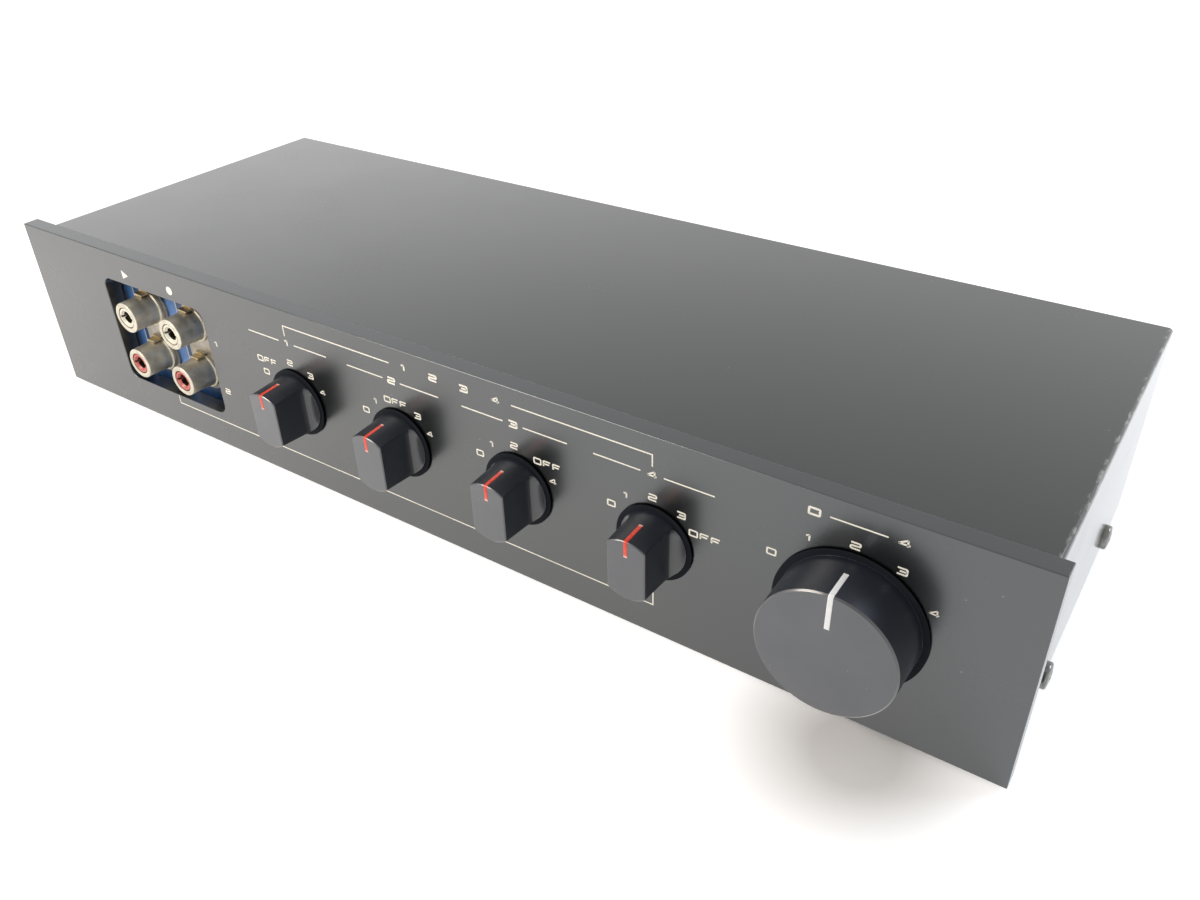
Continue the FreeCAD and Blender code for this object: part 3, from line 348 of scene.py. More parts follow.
origin = np.array([low[0] + 140.0, low[2]])     # panel middle, lower edge
ink = dict(y=face + ink_sunk, rise=-ink_high - ink_sunk)
small = dict(tall=1.65, wide=2.1, line=0.36, **ink)
titles = dict(tall=1.8, wide=2.5, line=0.44, **ink)
dial = [                                        # each sign round the knobs, from that origin
    ("0", -45.2, 30.1), ("OFF", -44.1, 33.5), ("2", -35.6, 35.2), ("3", -29.0, 33.6),
    ("4", -25.7, 30.1),
    ("0", -11.3, 30.1), ("1", -7.8, 33.5), ("OFF", -1.4, 35.2), ("3", 5.0, 33.6), ("4", 8.1, 30.0),
    ("0", 22.6, 30.1), ("1", 26.1, 33.6), ("2", 32.2, 35.3), ("OFF", 40.6, 33.6),
    ("4", 41.9, 29.9),
    ("0", 56.4, 30.1), ("1", 59.8, 33.4), ("2", 66.0, 35.2), ("3", 72.4, 33.5),
    ("OFF", 77.6, 30.3),
    ("0", 91.4, 33.0), ("1", 98.1, 39.1), ("2", 106.7, 40.9), ("3", 115.2, 39.1),
    ("4", 121.7, 32.9),
]
marks = []
for text, x, z in dial:
    marks += lettered(text, origin + (x, z), **small)
for text, x, z in (("1", -63.5, 32.5), ("2", -63.4, 18.7)):
    marks += lettered(text, origin + (x, z), **small)


def rule(*points):
    """A printed line 0.3 mm wide through points given from the panel's middle and lower edge."""
    return ribbon(origin + np.array(points), 0.3, **ink)


# each small knob's own number stands between two short lines, all four numbers between the long
# ones, and 0 to 4 over the monitor knob
for number, left, right in (("1", -48.7, -22.1), ("2", -15.4, 12.1), ("3", 18.6, 46.0),
                            ("4", 52.3, 79.4)):
    middle = (left + right) / 2
    marks += lettered(number, origin + (middle, 40.6), **titles)
    marks += [rule((left, 40.6), (middle - 2.6, 40.6)), rule((middle + 2.6, 40.6), (right, 40.6))]
for number, x in (("1", 2.6), ("2", 11.1), ("3", 19.6), ("4", 28.1)):
    marks += lettered(number, origin + (x, 45.1), **titles)
marks += lettered("0", origin + (98.7, 45.05), **titles)
marks += lettered("4", origin + (114.8, 45.05), **titles)
marks += [rule((101.6, 45.05), (112.0, 45.05)),
          rule((-35.5, 42.4), (-35.5, 45.1), (-1.6, 45.1)),
          rule((32.3, 45.1), (65.9, 45.1), (65.9, 42.4)),
          rule((-86.7, 10.2), (-86.7, 7.9), (66.3, 7.9), (66.3, 15.4))]
# a play triangle and a record disc stand over the two columns of jacks
turn = np.linspace(0, 2 * np.pi, 25)[:-1]
disc = np.stack([np.sin(turn), np.cos(turn)], 1) * 1.15 + origin + (-77.9, 43.7)
triangle = np.array([(-1.1, 1.2), (1.4, 0), (-1.1, -1.2)]) + origin + (-96.3, 43.7)
for outline in (disc, triangle):
    marks.append(skin(np.stack([np.insert(outline, 1, y, axis=1)
                                for y in (face + ink_sunk, face - ink_high)])))
build("panel_legends", marks, cream_ink, "box", sharp=30)

# each group of four jacks at the back carries its selector's number
tray_middle, tray_back = 3.05, corners("chassis_tray")[1][1]
marks = []
for number, x in (("1", 84.0), ("2", 28.0), ("3", -28.0), ("4", -84.0)):
    marks += lettered(number, (tray_middle + x, 44.2), tall=2.4, wide=2.6, line=0.5,
                      y=tray_back - ink_sunk, rise=ink_high + ink_sunk, turn=-1)
build("rear_legends", marks, cream_ink, "box", sharp=30)


# ---- Case screws and feet ---------------------------------------------------------------
# Black oxide pan head screws hold the cover. The box stands on four moulded rubber feet, each
# with its own zinc plated screw sunk in a pocket.

def turned(profile, centre, out, columns, relief=None):
    """A profile of (depth, radius) pairs turned about the axis that points out of a centre. One
    that ends where it starts becomes a hollow ring. Relief, where given, sinks each point in
    front of the centre by a depth that it works out from the point's two cross distances."""
    profile = np.array(profile, float)
    hollow = np.allclose(profile[0], profile[-1])
    depth, radius = profile[:len(profile) - hollow].T[:, :, None]
    out = np.array(out, float)
    side = np.array([0.0, 1.0, 0.0]) if abs(out[1]) < 0.5 else np.array([1.0, 0.0, 0.0])
    up = np.cross(out, side)
    angle = np.linspace(0, 2 * np.pi, columns, endpoint=False)
    across, along = radius * np.sin(angle), radius * np.cos(angle)
    depth = depth + np.zeros_like(across)
    if relief:
        depth = depth - relief(across, along) * (depth > 0)
    return skin(np.array(centre) + across[..., None] * side + along[..., None] * up
                + depth[..., None] * out, ring=hollow)


def cross_recess(across, along, arm=1.15, half=0.3):
    """Depth of a cross slot: 0.95 mm in its middle and evenly less towards the ends of its arms.
    It falls to nothing over 0.15 mm outside two crossed bars, given by half their sizes."""
    across, along = np.abs(across), np.abs(along)
    off = np.minimum(np.hypot(np.maximum(across - arm, 0), np.maximum(along - half, 0)),
                     np.hypot(np.maximum(across - half, 0), np.maximum(along - arm, 0)))
    inner = np.maximum(1 - np.hypot(across, along) / 2.2, 0)
    return np.clip(1 - off / 0.15, 0, 1) * (0.35 + 0.6 * inner)


# Black oxide on steel: a thin dark film, oily and rather bright, with the turned metal showing
# grey through it.
black_oxide, tree, shader, place = new_finish("black_oxide_steel", {"Metallic": 1.0})
dapple(tree, shader, place, 2.0, "#747576", "#96958f", (0.14, 0.22), (0.3, 0.002))

low, high = corners("cover_screws")
cover_low, cover_high = corners("top_cover")
shank, head_radius, shoulder, brow, brow_radius, head_high = 1.4, 2.8, 1.15, 1.35, 2.4, 1.6
head = eased([(-1.0, shank), (0.0, shank), (0.0, head_radius), (shoulder, head_radius),
              (brow, brow_radius)], (0.05, 0.05, 0.3))
head = np.vstack([[(-1.0, 0.0)], head])
dome_radius = np.linspace(2.36, 0, 44)          # the top of the head is a shallow parabola
dome = np.stack([brow + (head_high - brow) * (1 - (dome_radius / brow_radius) ** 2),
                 dome_radius], 1)
heads = []
for x, way in ((cover_low[0], -1), (cover_high[0], 1)):
    for y in (low[1] + head_radius, high[1] - head_radius):
        heads.append(turned(np.vstack([head, dome]), (x, y, (low[2] + high[2]) / 2), (way, 0, 0),
                            96, cross_recess))
build("cover_screw_heads", heads, black_oxide, "box", ["cover_screws"],
      sharp=40)
switches = ("1", "2", "3", "4", "monitor")      # the five switches, as their nodes end
dress(black_oxide, *(f"grub_screw_{tag}" for tag in switches))

# Zinc plate, clear passivated: a dull grey metal with a faint cloudy spangle.
zinc, tree, shader, place = new_finish("zinc_plated_steel", {"Metallic": 1.0})
dapple(tree, shader, place, 3.0, "#a3a29c", "#b6b5b0", (0.32, 0.46), (0.4, 0.001))
dress(zinc, "panel_screws", "foot_screws", "board_screws", "tie_screws", "index_caps",
      *(f"switch_frame_{tag}" for tag in switches))

# Moulded rubber: matt and greyish black, with the fine grain of the mould, drawn coarse.
rubber, tree, shader, place = new_finish("black_rubber", {"IOR": 1.52})
dapple(tree, shader, place, 4.0, "#252525", "#2e2e2d", (0.7, 0.85), (0.3, 0.01))
low, high = corners("rubber_feet")
foot_radius, pocket_radius, screw_radius, foot_high = 6.0, 3.4, 1.6, high[2]
pocket_floor = foot_high - 1.9
foot = eased([(0, screw_radius), (0, foot_radius), (foot_high, foot_radius),
              (foot_high, pocket_radius), (pocket_floor, pocket_radius),
              (pocket_floor, screw_radius), (0, screw_radius)], 0.35)
feet = [turned(foot, (x, y, foot_high), (0, 0, -1), 72)
        for x in (low[0] + foot_radius, high[0] - foot_radius)
        for y in (low[1] + foot_radius, high[1] - foot_radius)]
build("moulded_feet", feet, rubber, "box", ["rubber_feet"])


# ---- Jack boards ------------------------------------------------------------------------
# Paper laminate boards under blue solder resist, with a thin white printed line beside each
# column of jacks. A brighter blue band beside each line is painted light, and is also raised a
# little like a copper track under the resist.

column_gap = 18.3                               # from one column of jacks to the next

# Solder resist: a glossy blue lacquer over copper and laminate, a little cloudy. The band of
# painted light beside each white line is raised a little. The pattern repeats with the jacks'
# columns.
board_finish, tree, shader, place = new_finish("blue_board", {"IOR": 1.5, "Coat Weight": 0.5,
                                                              "Coat Roughness": 0.1})
tree.links.new(patches(tree, place, 8.0 / 3, 0.3, 0.42), shader.inputs["Roughness"])
where = add(tree, "ShaderNodeSeparateXYZ", {"Vector": place})
front_low, front_high = corners("front_jack_board")
middle, line_off = (front_low[0] + front_high[0]) / 2, 0.6
# how far each point is on its way from one white line to the next
from_line = add(tree, "ShaderNodeMath",
                {0: where.outputs["X"], 1: -(middle + line_off) / 1000}, operation="ADD")
turns = add(tree, "ShaderNodeMath", {0: from_line.outputs[0], 1: column_gap / 1000},
            operation="DIVIDE")
share = add(tree, "ShaderNodeMath", {0: turns.outputs[0]}, operation="FRACT")
# the brighter band just before each white line: painted light, and also the raised part of the bump
track_and_light_band = add(tree, "ShaderNodeMapRange",
            {"Value": share.outputs[0], "From Min": 0.76, "From Max": 0.8, "To Min": 0.0,
             "To Max": 1.0}, interpolation_type="SMOOTHSTEP")
line = add(tree, "ShaderNodeMapRange",
           {"Value": share.outputs[0], "From Min": 0.016, "From Max": 0.022, "To Min": 1.0,
            "To Max": 0.0})
cloud = add(tree, "ShaderNodeMix", {0: patches(tree, place, 3.0, 0.0, 1.0),
                                    6: linear("#1c3558"), 7: linear("#274974")}, data_type="RGBA")
resist = add(tree, "ShaderNodeMix", {0: track_and_light_band.outputs[0], 6: cloud.outputs[2],
                                     7: linear("#4a74ae")}, data_type="RGBA")
paint_over(tree, shader, resist.outputs[2], line.outputs[0], "#b9c0d8")
raised = add(tree, "ShaderNodeBump", {"Height": track_and_light_band.outputs[0], "Distance": 0.00004,
                                      "Strength": 1.0})
tree.links.new(raised.outputs["Normal"], shader.inputs["Normal"])
dress(board_finish, "front_jack_board", "rear_jack_board")


# ---- Phono jacks ------------------------------------------------------------------------
# Each jack is a turned brass shell with a flange, dull nickel plated, round a moulded plastic
# insulator with a split contact in its middle: white for left, red for right.

# Dull nickel: a pale, warm grey metal whose plate has gone dull and a little blotchy with age.
nickel, tree, shader, place = new_finish("nickel_plate", {"Metallic": 1.0})
dapple(tree, shader, place, 2.2, "#c2bcac", "#dfdacb", (0.44, 0.56), (0.5, 0.003))

rear_low, rear_high = corners("rear_jack_board")
row_gap, group_gap = 13.67, 56.0
row_z = (front_low[2] + front_high[2]) / 2
rear_x = (rear_low[0] + rear_high[0]) / 2
groups = [(middle, front_low[1], -1)]           # each group's middle, board face and way out
groups += [(rear_x + (n - 1.5) * group_gap, rear_high[1], 1) for n in range(4)]
places = [((x + side * column_gap / 2, y, row_z + level * row_gap / 2), way, level)
          for x, y, way in groups for side in (-1, 1) for level in (-1, 1)]

stack, flange, mouth = 1.0, 1.6, 8.86           # depths from the board's face
shell_bore, root_radius, shell_radius, flange_radius = 2.95, 4.4, 4.2, 5.0
shell = eased([(stack, shell_bore), (stack, flange_radius), (flange, flange_radius),
               (flange, root_radius), (3.6, root_radius - 0.02), (4.9, shell_radius),
               (mouth, shell_radius), (mouth, shell_bore), (stack, shell_bore)],
              (0.12, 0.12, 0.3, 0.6, 0.6, 0.28, 0.1))
build("jack_shells_plated", [turned(shell, spot, (0, way, 0), 72) for spot, way, _ in places],
      nickel, "box", ["jack_shells"], sharp=40)

# Moulded insulators: a glossy thermoplastic, a slightly yellowed white and a faded red.
white_plastic, tree, shader, place = new_finish("white_plastic", {"IOR": 1.49})
dapple(tree, shader, place, 2.0, "#dedac9", "#e6e3d5", (0.25, 0.35), (0.6, 0.003))
red_plastic, tree, shader, place = new_finish("red_plastic", {"IOR": 1.49})
dapple(tree, shader, place, 2.0, "#bb5a54", "#c86a63", (0.25, 0.35), (0.6, 0.003))

# Dark brown tarnished metal on the pin hole's walls and its two slits: partly the spring contact's
# own tarnish, partly painted shade in these recesses.
contact_tarnish_and_shade, tree, shader, place = new_finish("spring_contact_and_painted_shade", {"Metallic": 1.0})
dapple(tree, shader, place, 1.5, "#4c443c", "#6e6256", (0.4, 0.6), (0.3, 0.004))


slit_half, slit_reach, slit_deep = 0.26, 2.45, 0.9


def pin_slits(across, along):
    """Depth of the two slits that run out from the pin hole to either side."""
    return slit_deep * (np.abs(along) < slit_half) * (np.abs(across) < slit_reach)


bore, rim, lip = 1.65, 2.9, 2.68
plastic_back, groove_floor, sink_floor, plastic_face = -7.6, 7.9, 8.2, 8.72
insulator = np.vstack([eased([(plastic_back, bore), (plastic_back, rim), (groove_floor, rim),
                              (groove_floor, lip), (plastic_face, lip), (plastic_face, 2.5)],
                             (0.1, 0.02, 0.02, 0.06)),
                       np.stack([np.full(6, plastic_face), np.linspace(slit_reach, 2.15, 6)], 1),
                       [(sink_floor, bore), (7.0, bore), (plastic_back, bore)]])
for level, colour, finish in ((1, "white", white_plastic), (-1, "red", red_plastic)):
    own = [(spot, way) for spot, way, at in places if at == level]
    made = [turned(insulator, spot, (0, way, 0), 96, pin_slits) for spot, way in own]
    moulded = build(f"{colour}_jack_insulators", made, finish, "box",
                    [f"{colour}_insulators"], sharp=40)
    # the pin hole's and slits' faces take the dark metal: painted shade, partly the contact's
    # tarnish
    moulded.data.materials.append(contact_tarnish_and_shade)
    centres = np.empty(len(moulded.data.polygons) * 3)
    moulded.data.polygons.foreach_get("center", centres)
    spots = np.array([spot for spot, _ in own])
    offset = np.abs(centres.reshape(-1, 1, 3) * 1000 - spots)
    mine = offset[np.arange(len(offset)), np.linalg.norm(offset, axis=2).argmin(1)]
    in_slit = (mine[:, 2] < slit_half) & (mine[:, 0] < slit_reach)
    in_bore = np.hypot(mine[:, 0], mine[:, 2]) < bore + 0.02
    moulded.data.polygons.foreach_set("material_index", (in_slit | in_bore).astype(int))

# Tinned parts: steel washers, and thin brass earth plates that are dull grey on the boards and
# straw coloured where the tin has worn off their bent tabs.
tin, tree, shader, place = new_finish("tinned_steel", {"Metallic": 1.0})
dapple(tree, shader, place, 2.0, "#8f8e8c", "#a6a5a2", (0.35, 0.5), (0.4, 0.002))
dress(tin, "jack_washers")
tinned_brass, tree, shader, place = new_finish("tinned_brass", {"Metallic": 1.0})
tinned = dapple(tree, shader, place, 2.5, "#a09a90", "#b9b4aa", (0.34, 0.5), (0.4, 0.003))
where = add(tree, "ShaderNodeSeparateXYZ", {"Vector": place})
between = (front_low[1] + rear_high[1]) / 2
from_middle = add(tree, "ShaderNodeMath", {0: where.outputs["Y"], 1: -between / 1000},
                  operation="ADD")
outwards = add(tree, "ShaderNodeMath", {0: from_middle.outputs[0]}, operation="ABSOLUTE")
board_face = (rear_high[1] - front_low[1]) / 2
tab = add(tree, "ShaderNodeMapRange",
          {"Value": outwards.outputs[0], "From Min": (board_face + 1.1) / 1000,
           "From Max": (board_face + 2.0) / 1000, "To Min": 0.0, "To Max": 1.0})
paint_over(tree, shader, tinned, tab.outputs[0], "#b9a988")
dress(tinned_brass, "earth_plates", "centre_contacts", "solder_tags")


# ---- Rotary switches --------------------------------------------------------------------
# Standard open wafer switches behind the panel: a bushed plate, an indexing cap, two laminate
# wafers with their rotors, and a plated shaft. They are seen only with the cover off.

dress(nickel, "board_spacers", "switch_nuts", "lock_washers", "switch_spacers",
      *(f"shaft_{tag}" for tag in switches))

# Phenolic paper laminate: brown and matt, with the faint mottle of its paper layers.
laminate, tree, shader, place = new_finish("brown_laminate", {"IOR": 1.55})
dapple(tree, shader, place, 3.0, "#7a4a26", "#8b5a30", (0.5, 0.62), (0.3, 0.004))
dress(laminate, *(f"{part}_{tag}" for part in ("wafers", "rotors") for tag in switches))

# Flat ribbon cable: soft grey vinyl with a rib over each wire. The real ribs, 1.27 mm apart,
# are too fine to show, so they are drawn 2 pi times as far apart, about 8 mm.
vinyl, tree, shader, place = new_finish("grey_vinyl", {"IOR": 1.53})
dapple(tree, shader, place, 6.0, "#8d8e90", "#9a9b9d", (0.45, 0.55))
ribs = add(tree, "ShaderNodeTexWave", {"Vector": place, "Scale": per(1.27) / 20},
           bands_direction="X")
relief = add(tree, "ShaderNodeBump", {"Height": ribs.outputs["Fac"], "Distance": 0.0002,
                                      "Strength": 1.0})
tree.links.new(relief.outputs["Normal"], shader.inputs["Normal"])
dress(vinyl, "ribbon_cables")


# ---- Selector knobs ---------------------------------------------------------------------
# Moulded knobs: a round body with both sides scooped away to leave a bar grip, on a thin black
# flange. A red painted line runs forward along the top and turns down the front face.

# Moulded styrene plastic: blue-black, satin from the tool's fine texture, which is drawn coarser,
# 0.25 mm wide, with a few specks of pale dust that sit on it.
def moulded_plastic(name, dark, light, sockets, rough=(0.34, 0.42)):
    finish, tree, shader, place = new_finish(name, sockets)
    colour = dapple(tree, shader, place, 9.0, dark, light, rough, (0.25, 0.001))
    paint_over(tree, shader, colour, specks(tree, place, 3.2, 0.02, 0.035, 0.5), "#b6b8ba")
    return finish


knob_plastic = moulded_plastic("black_knob_plastic", "#1d212a", "#22262f", {"IOR": 1.5})
# The flat faces that point at the user get a lighter, greyer copy of the plastic: painted light,
# for the brightness they catch.
front_painted_light = moulded_plastic("knob_front_painted_light", "#464a50", "#4c5056",
                            {"IOR": 1.5, "Coat Weight": 1.0, "Coat Roughness": 0.25})
# The hollow foot of the scoops beside the grip, where it faces the user, gets a lighter copy of the
# plastic: painted light.
scoop_painted_light = moulded_plastic("knob_scoop_painted_light", "#35373d", "#3c3e44",
                             {"IOR": 1.5, "Coat Weight": 1.0, "Coat Roughness": 0.3})
# The thin flange behind each knob is matt black and mirrors next to nothing. Its near-black is
# partly painted shade, for the dark ring of shade round each knob.
flange_painted_shade = moulded_plastic("matt_black_flange_painted_shade", "#191c22", "#1d2026",
                              {"IOR": 1.5, "Specular IOR Level": 0.1}, (0.6, 0.7))
# The bevel round each front is cut with a diamond and comes out bright.
cut_bevel = moulded_plastic("polished_knob_bevel", "#1c1d21", "#222327",
                            {"IOR": 1.8, "Coat Weight": 1.0, "Coat Roughness": 0.16})
# Pointer paint: a thick glossy enamel wiped into the groove. The red has worn thin and pale at
# the groove's ends.
red_enamel, tree, shader, place = new_finish("red_enamel", {"IOR": 1.5})
enamel = dapple(tree, shader, place, 1.5, "#dc3219", "#e84428", (0.2, 0.3), (0.4, 0.004))
worn = add(tree, "ShaderNodeAttribute", attribute_name="worn")
paint_over(tree, shader, enamel, worn.outputs["Fac"], "#ffd5cc")
white_enamel, tree, shader, place = new_finish("white_enamel", {"IOR": 1.5})
dapple(tree, shader, place, 1.5, "#eef0f1", "#f7f8f8", (0.2, 0.3), (0.4, 0.004))

flange_radius, flange_thick, foot_depth, knob_deep, bevel = 8.75, 0.15, 0.4, 10.2, 0.2
grip_half, grip_back, grip_front, grip_corner, scoop_bend = 4.3, 7.6, 7.05, 0.45, 2.6


def grip_outline(radius, half, corner):
    """The grip's section: a circle cut by two flat sides at half its width, with corner arcs.
    One quarter runs from the top: an arc round the middle, an arc round the corner's own
    centre, then the straight side. The other three are its mirror images."""
    centre = np.array([half - corner, math.sqrt((radius - corner) ** 2 - (half - corner) ** 2)])
    turn = math.atan2(*centre)
    top, bend = np.linspace(0, turn, 14), np.linspace(turn, math.pi / 2, 8)[1:]
    side = np.linspace(centre[1], 0, 8)[1:]
    quarter = np.vstack([radius * np.stack([np.sin(top), np.cos(top)], 1),
                         centre + corner * np.stack([np.sin(bend), np.cos(bend)], 1),
                         np.stack([np.full_like(side, half), side], 1)])
    lower = quarter[-2::-1] * (1, -1)
    right = np.vstack([quarter, lower])
    return np.vstack([right, right[-2:0:-1] * (-1, 1)])


def body_radius(depth):
    """Radius of the knob's round body, which narrows evenly from back to front."""
    return grip_back + (grip_front - grip_back) * depth / knob_deep


def knob_rows():
    """Depth and outline of each row of a selector knob, from its back to the front's middle.
    The flange's rows are circles. The grip's are its outline moved in or out by an inset, no
    point farther out than the round body, so its scooped sides end on a circular foot."""
    whole = grip_outline(grip_back, grip_half, grip_corner)
    spokes = whole / np.linalg.norm(whole, axis=1)[:, None]
    foot = body_radius(foot_depth)
    flange = eased([(0, 3.2), (0, flange_radius), (flange_thick, flange_radius),
                    (flange_thick, foot + 0.05), (foot_depth - 0.06, foot + 0.04),
                    (foot_depth, foot)], (0.06, 0.06, 0.02, 0.02))
    rows = [(depth, spokes * radius) for depth, radius in flange]
    grip = eased([(foot_depth, -scoop_bend), (foot_depth, 0.0), (knob_deep - bevel, 0.0),
                  (knob_deep, bevel), (knob_deep, 0.8)], (scoop_bend, 0.05, 0.05))
    for depth, move in grip:
        line = grip_outline(body_radius(depth) - move, grip_half - move,
                            max(grip_corner - move, 0.1))
        size = np.linalg.norm(line, axis=1)[:, None]
        rows.append((depth, line * np.minimum(1, (body_radius(depth) - max(move, 0)) / size)))
    rows += [(knob_deep, rows[-1][1] * size) for size in (0.7, 0.4, 0.0)]
    return rows


def pointer_strip(path, wide, x, axis_z, back):
    """An inlaid line that follows a path of (depth, height): its section is wide across, stands
    0.05 mm proud with rounded shoulders, and is sunk 0.3 mm."""
    side = normals(path)
    section = [(-0.5, -0.3), (-0.5, 0.02), (-0.46, 0.04), (-0.3, 0.05), (0.3, 0.05), (0.46, 0.04),
               (0.5, 0.02), (0.5, -0.3)]
    columns = [np.stack([np.full(len(path), x + across * wide), back - path[:, 0] - up * side[:, 0],
                         axis_z + path[:, 1] + up * side[:, 1]], 1) for across, up in section]
    return skin(np.stack(columns, 1))


def finish_knob(thing, axis, front, body):
    """Give a knob's flat front the lighter finish of painted light, the slopes within 0.6 mm of
    the front the cut bevel's, other slopes that face the user the scoops' lighter finish of
    painted light, and all that lies outside its round body's radius the flange's near-black,
    which is partly painted shade."""
    for finish in (front_painted_light, cut_bevel, scoop_painted_light, flange_painted_shade):
        thing.data.materials.append(finish)
    normal, centre = (np.empty(len(thing.data.polygons) * 3) for _ in range(2))
    thing.data.polygons.foreach_get("normal", normal)
    thing.data.polygons.foreach_get("center", centre)
    x, y, z = centre.reshape(-1, 3).T * 1000
    forward, near = -normal[1::3], y < front + 0.6
    outside = np.hypot(x - axis[0], z - axis[1]) > body
    chosen = np.select([outside, near & (forward > 0.97), near & (forward > 0.2),
                        ~near & (forward > 0.35)], [4, 1, 2, 3], 0)
    thing.data.polygons.foreach_set("material_index", chosen)


def wear_ends(thing, spots):
    """Mark how worn a pointer's paint is: through within 0.2 mm of each of the given spots, less
    and less from there, and whole 0.7 mm off."""
    points = np.empty(len(thing.data.vertices) * 3)
    thing.data.vertices.foreach_get("co", points)
    off = np.linalg.norm(points.reshape(-1, 1, 3) * 1000 - np.array(spots), axis=2).min(1)
    worn = thing.data.attributes.new("worn", "FLOAT", "POINT")
    worn.data.foreach_set("value", np.clip(1.4 - off / 0.5, 0, 1))


rows = knob_rows()
mark_back, mark_end = 4.5, 3.3              # the line starts at this depth and ends at this height
mark = eased([(mark_back, body_radius(mark_back)),
              (knob_deep - bevel, body_radius(knob_deep - bevel)),
              (knob_deep, grip_front - bevel), (knob_deep, mark_end)], 0.08)
worn_back = [(mark_back + off, body_radius(mark_back + off)) for off in (0.3, 0.6)]
worn_end = [(knob_deep, mark_end + off) for off in (0.6, 0.3)]
mark = np.vstack([mark[:1], worn_back, mark[1:-1], worn_end, mark[-1:]])
for tag in ("1", "2", "3", "4"):
    low, high = corners("knob_" + tag)
    x, z, back = (low[0] + high[0]) / 2, (low[2] + high[2]) / 2, high[1]
    grid = np.stack([np.insert(line + (x, z), 1, back - depth, axis=1) for depth, line in rows])
    knob = build(f"selector_knob_{tag}", [skin(grid)], knob_plastic, f"selector_{tag}",
                 [f"knob_{tag}"], sharp=50)
    finish_knob(knob, (x, z), back - knob_deep, grip_back - 0.03)
    pointer = build(f"selector_pointer_{tag}", [pointer_strip(mark, 0.85, x, z, back)],
                    red_enamel, f"selector_{tag}", [f"pointer_{tag}"], sharp=50)
    wear_ends(pointer, [(x, back - mark_back, z + mark[0, 1]),
                        (x, back - knob_deep, z + mark_end)])


# ---- Monitor knob -----------------------------------------------------------------------
# A large round knob of the same plastic: a plain cylinder on a thin black flange, with a narrow
# polished bevel round its front and a white line like the small knobs' red ones.

flange_radius, side_back, side_front, front_bevel, monitor_deep = 15.0, 13.65, 13.5, 0.35, 10.7
brink = [(monitor_deep - front_bevel, side_front), (monitor_deep, side_front - front_bevel)]
profile = eased([(0, 3.2), (0, flange_radius), (flange_thick, flange_radius),
                 (flange_thick, side_back), *brink, (monitor_deep, 6.0)],
                (0.06, 0.06, 0.02, 0.06, 0.06))
profile = np.vstack([profile, [(monitor_deep, 3.0), (monitor_deep, 0.0)]])
low, high = corners("knob_monitor")
x, z, back = (low[0] + high[0]) / 2, (low[2] + high[2]) / 2, high[1]
knob = build("monitor_knob", [turned(profile, (x, back, z), (0, -1, 0), 192)], knob_plastic,
             "monitor_selector", ["knob_monitor"], sharp=50)
finish_knob(knob, (x, z), back - monitor_deep, side_back + 0.05)
mark = eased([(4.2, side_front + 0.1), *brink, (monitor_deep, 6.1)], 0.06)
build("monitor_pointer", [pointer_strip(mark, 0.98, x, z, back)], white_enamel,
      "monitor_selector", ["pointer_monitor"], sharp=50)


# ---- Floor, light and camera ------------------------------------------------------------
# A plain white cloth table in soft light: a near window to the front left, a cooler one behind
# on the right, and pale walls all round. The camera stands where the photograph was taken.

ground = bpy.data.meshes.new("white_table")
ground.from_pydata([(-3, -3, 0), (3, -3, 0), (3, 3, 0), (-3, 3, 0)], [], [(0, 1, 2, 3)])
floor = bpy.data.objects.new("white_table", ground)
bpy.context.scene.collection.objects.link(floor)
# Bleached cotton: matt white, with faint patches. It is lifted to the white of the background
# for the camera and in mirrors. Near the panel's right foot the camera's lift fades almost to
# nothing, which paints a shadow pool round that spot.
table_white, tree, shader, place = new_finish(
    "white_table_cloth", {"Roughness": 0.9, "Emission Color": (1, 1, 1, 1)})
dapple(tree, shader, place, 90, "#ebeae8", "#eeedeb", (0.85, 0.95))
rays = add(tree, "ShaderNodeLightPath")
mirrored = add(tree, "ShaderNodeMath", {0: rays.outputs["Is Glossy Ray"], 1: 0.48},
               operation="MULTIPLY")
# painted shadow pool: the camera's lift is 0.05 within 8 mm of this spot, rising to 0.6 at 28 mm
shadow_pool_centre = (0.114, -0.051, 0.0)
away = add(tree, "ShaderNodeVectorMath", {0: place, 1: shadow_pool_centre}, operation="DISTANCE")
shadow_pool_fade = add(tree, "ShaderNodeMapRange",
           {"Value": away.outputs["Value"], "From Min": 0.008, "From Max": 0.028, "To Min": 0.05,
            "To Max": 0.6})
seen = add(tree, "ShaderNodeMath", {0: rays.outputs["Is Camera Ray"], 1: shadow_pool_fade.outputs[0]},
           operation="MULTIPLY")
lift = add(tree, "ShaderNodeMath", {0: seen.outputs[0], 1: mirrored.outputs[0]},
           operation="MAXIMUM")
tree.links.new(lift.outputs[0], shader.inputs["Emission Strength"])
ground.materials.append(table_white)

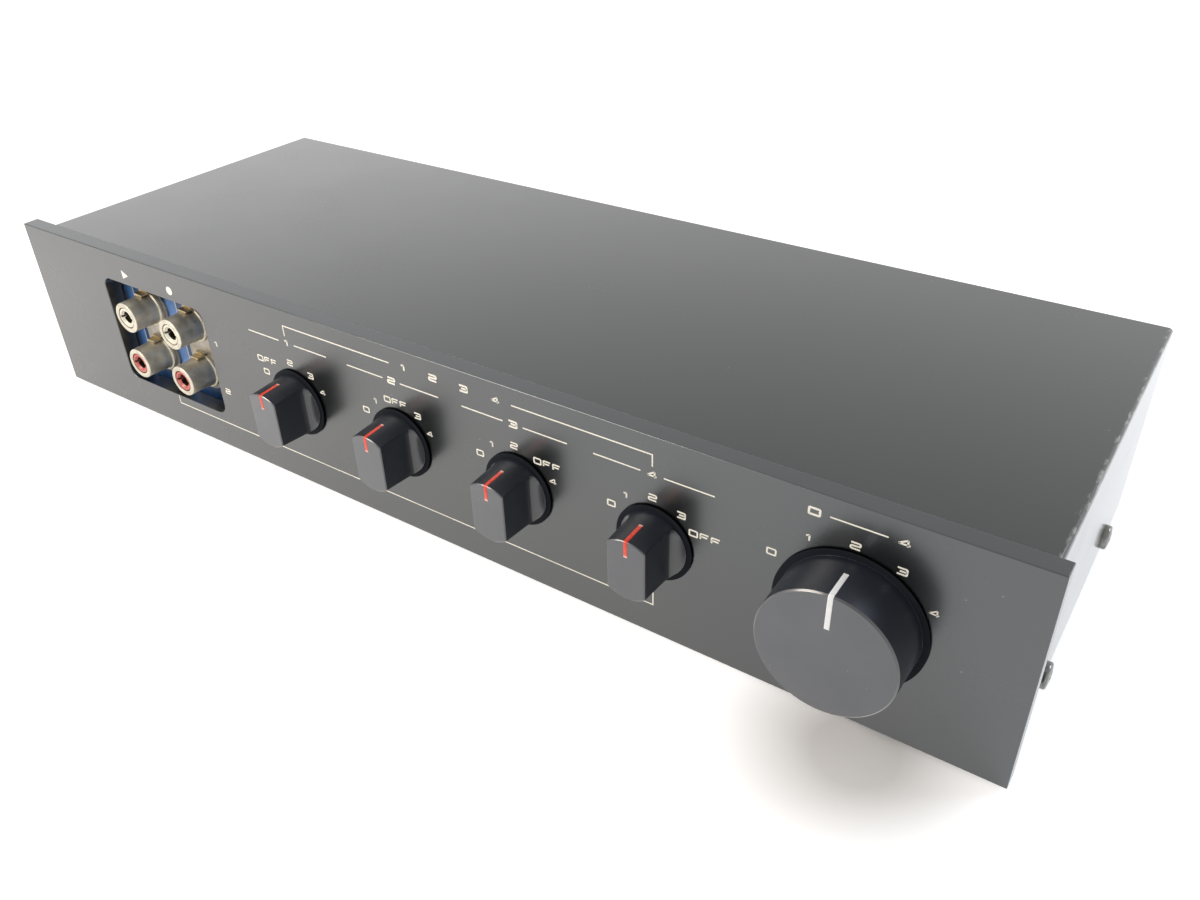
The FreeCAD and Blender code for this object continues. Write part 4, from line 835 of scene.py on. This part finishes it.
world = bpy.data.worlds.new("soft_daylight")
bpy.context.scene.world = world
world.use_nodes = True
tree = world.node_tree
rays = add(tree, "ShaderNodeLightPath")
direct = add(tree, "ShaderNodeMath", {0: rays.outputs["Is Camera Ray"],
                                      1: rays.outputs["Is Transmission Ray"]},
             operation="MAXIMUM")
where = add(tree, "ShaderNodeSeparateXYZ",
            {"Vector": add(tree, "ShaderNodeTexCoord").outputs["Generated"]})
walls = add(tree, "ShaderNodeMapRange",
            {"Value": where.outputs["Z"], "From Min": 0.3, "From Max": 0.65, "To Min": 1.0,
             "To Max": 0.64})
mirrored = add(tree, "ShaderNodeMix", {0: rays.outputs["Is Glossy Ray"], 2: 0.5,
                                       3: walls.outputs[0]})
strength = add(tree, "ShaderNodeMix", {0: direct.outputs[0], 2: mirrored.outputs[0], 3: 1.0})
sky = add(tree, "ShaderNodeBackground", {"Color": (1, 1, 1, 1), "Strength": strength.outputs[0]})
tree.links.new(sky.outputs[0], tree.nodes["World Output"].inputs["Surface"])


def lamp(name, place, aim, size, watts, colour):
    """A soft square lamp at a place, turned to a point, both in metres."""
    light = bpy.data.lights.new(name, "AREA")
    light.size, light.energy, light.color = size, watts, linear(colour)[:3]
    thing = bpy.data.objects.new(name, light)
    bpy.context.scene.collection.objects.link(thing)
    way = np.array(aim) - np.array(place)
    thing.location = place
    thing.rotation_euler = (math.atan2(math.hypot(way[0], way[1]), -way[2]), 0,
                            math.atan2(-way[0], way[1]))


lamp("window_light", (-0.2, -0.33, 0.27), (0.02, -0.05, 0.03), 0.2, 1.3, "#fff4ea")
lamp("room_light", (0.52, 0.45, 0.6), (0.05, -0.02, 0.02), 0.4, 2.6, "#dfeaff")

# the camera's place, turn and lens were solved from the panel's edges and the knobs' circles
camera = bpy.data.objects.new("camera", bpy.data.cameras.new("camera"))
bpy.context.scene.collection.objects.link(camera)
camera.location = (0.150641, -0.184241, 0.155538)
camera.rotation_euler = [math.radians(turn) for turn in (56.39357, 1.23473, 34.0294)]
camera.data.lens, camera.data.sensor_width = 31.3357, 36.0
camera.data.clip_start = 0.01
bpy.context.scene.camera = camera
bpy.context.scene.view_settings.view_transform = "Standard"
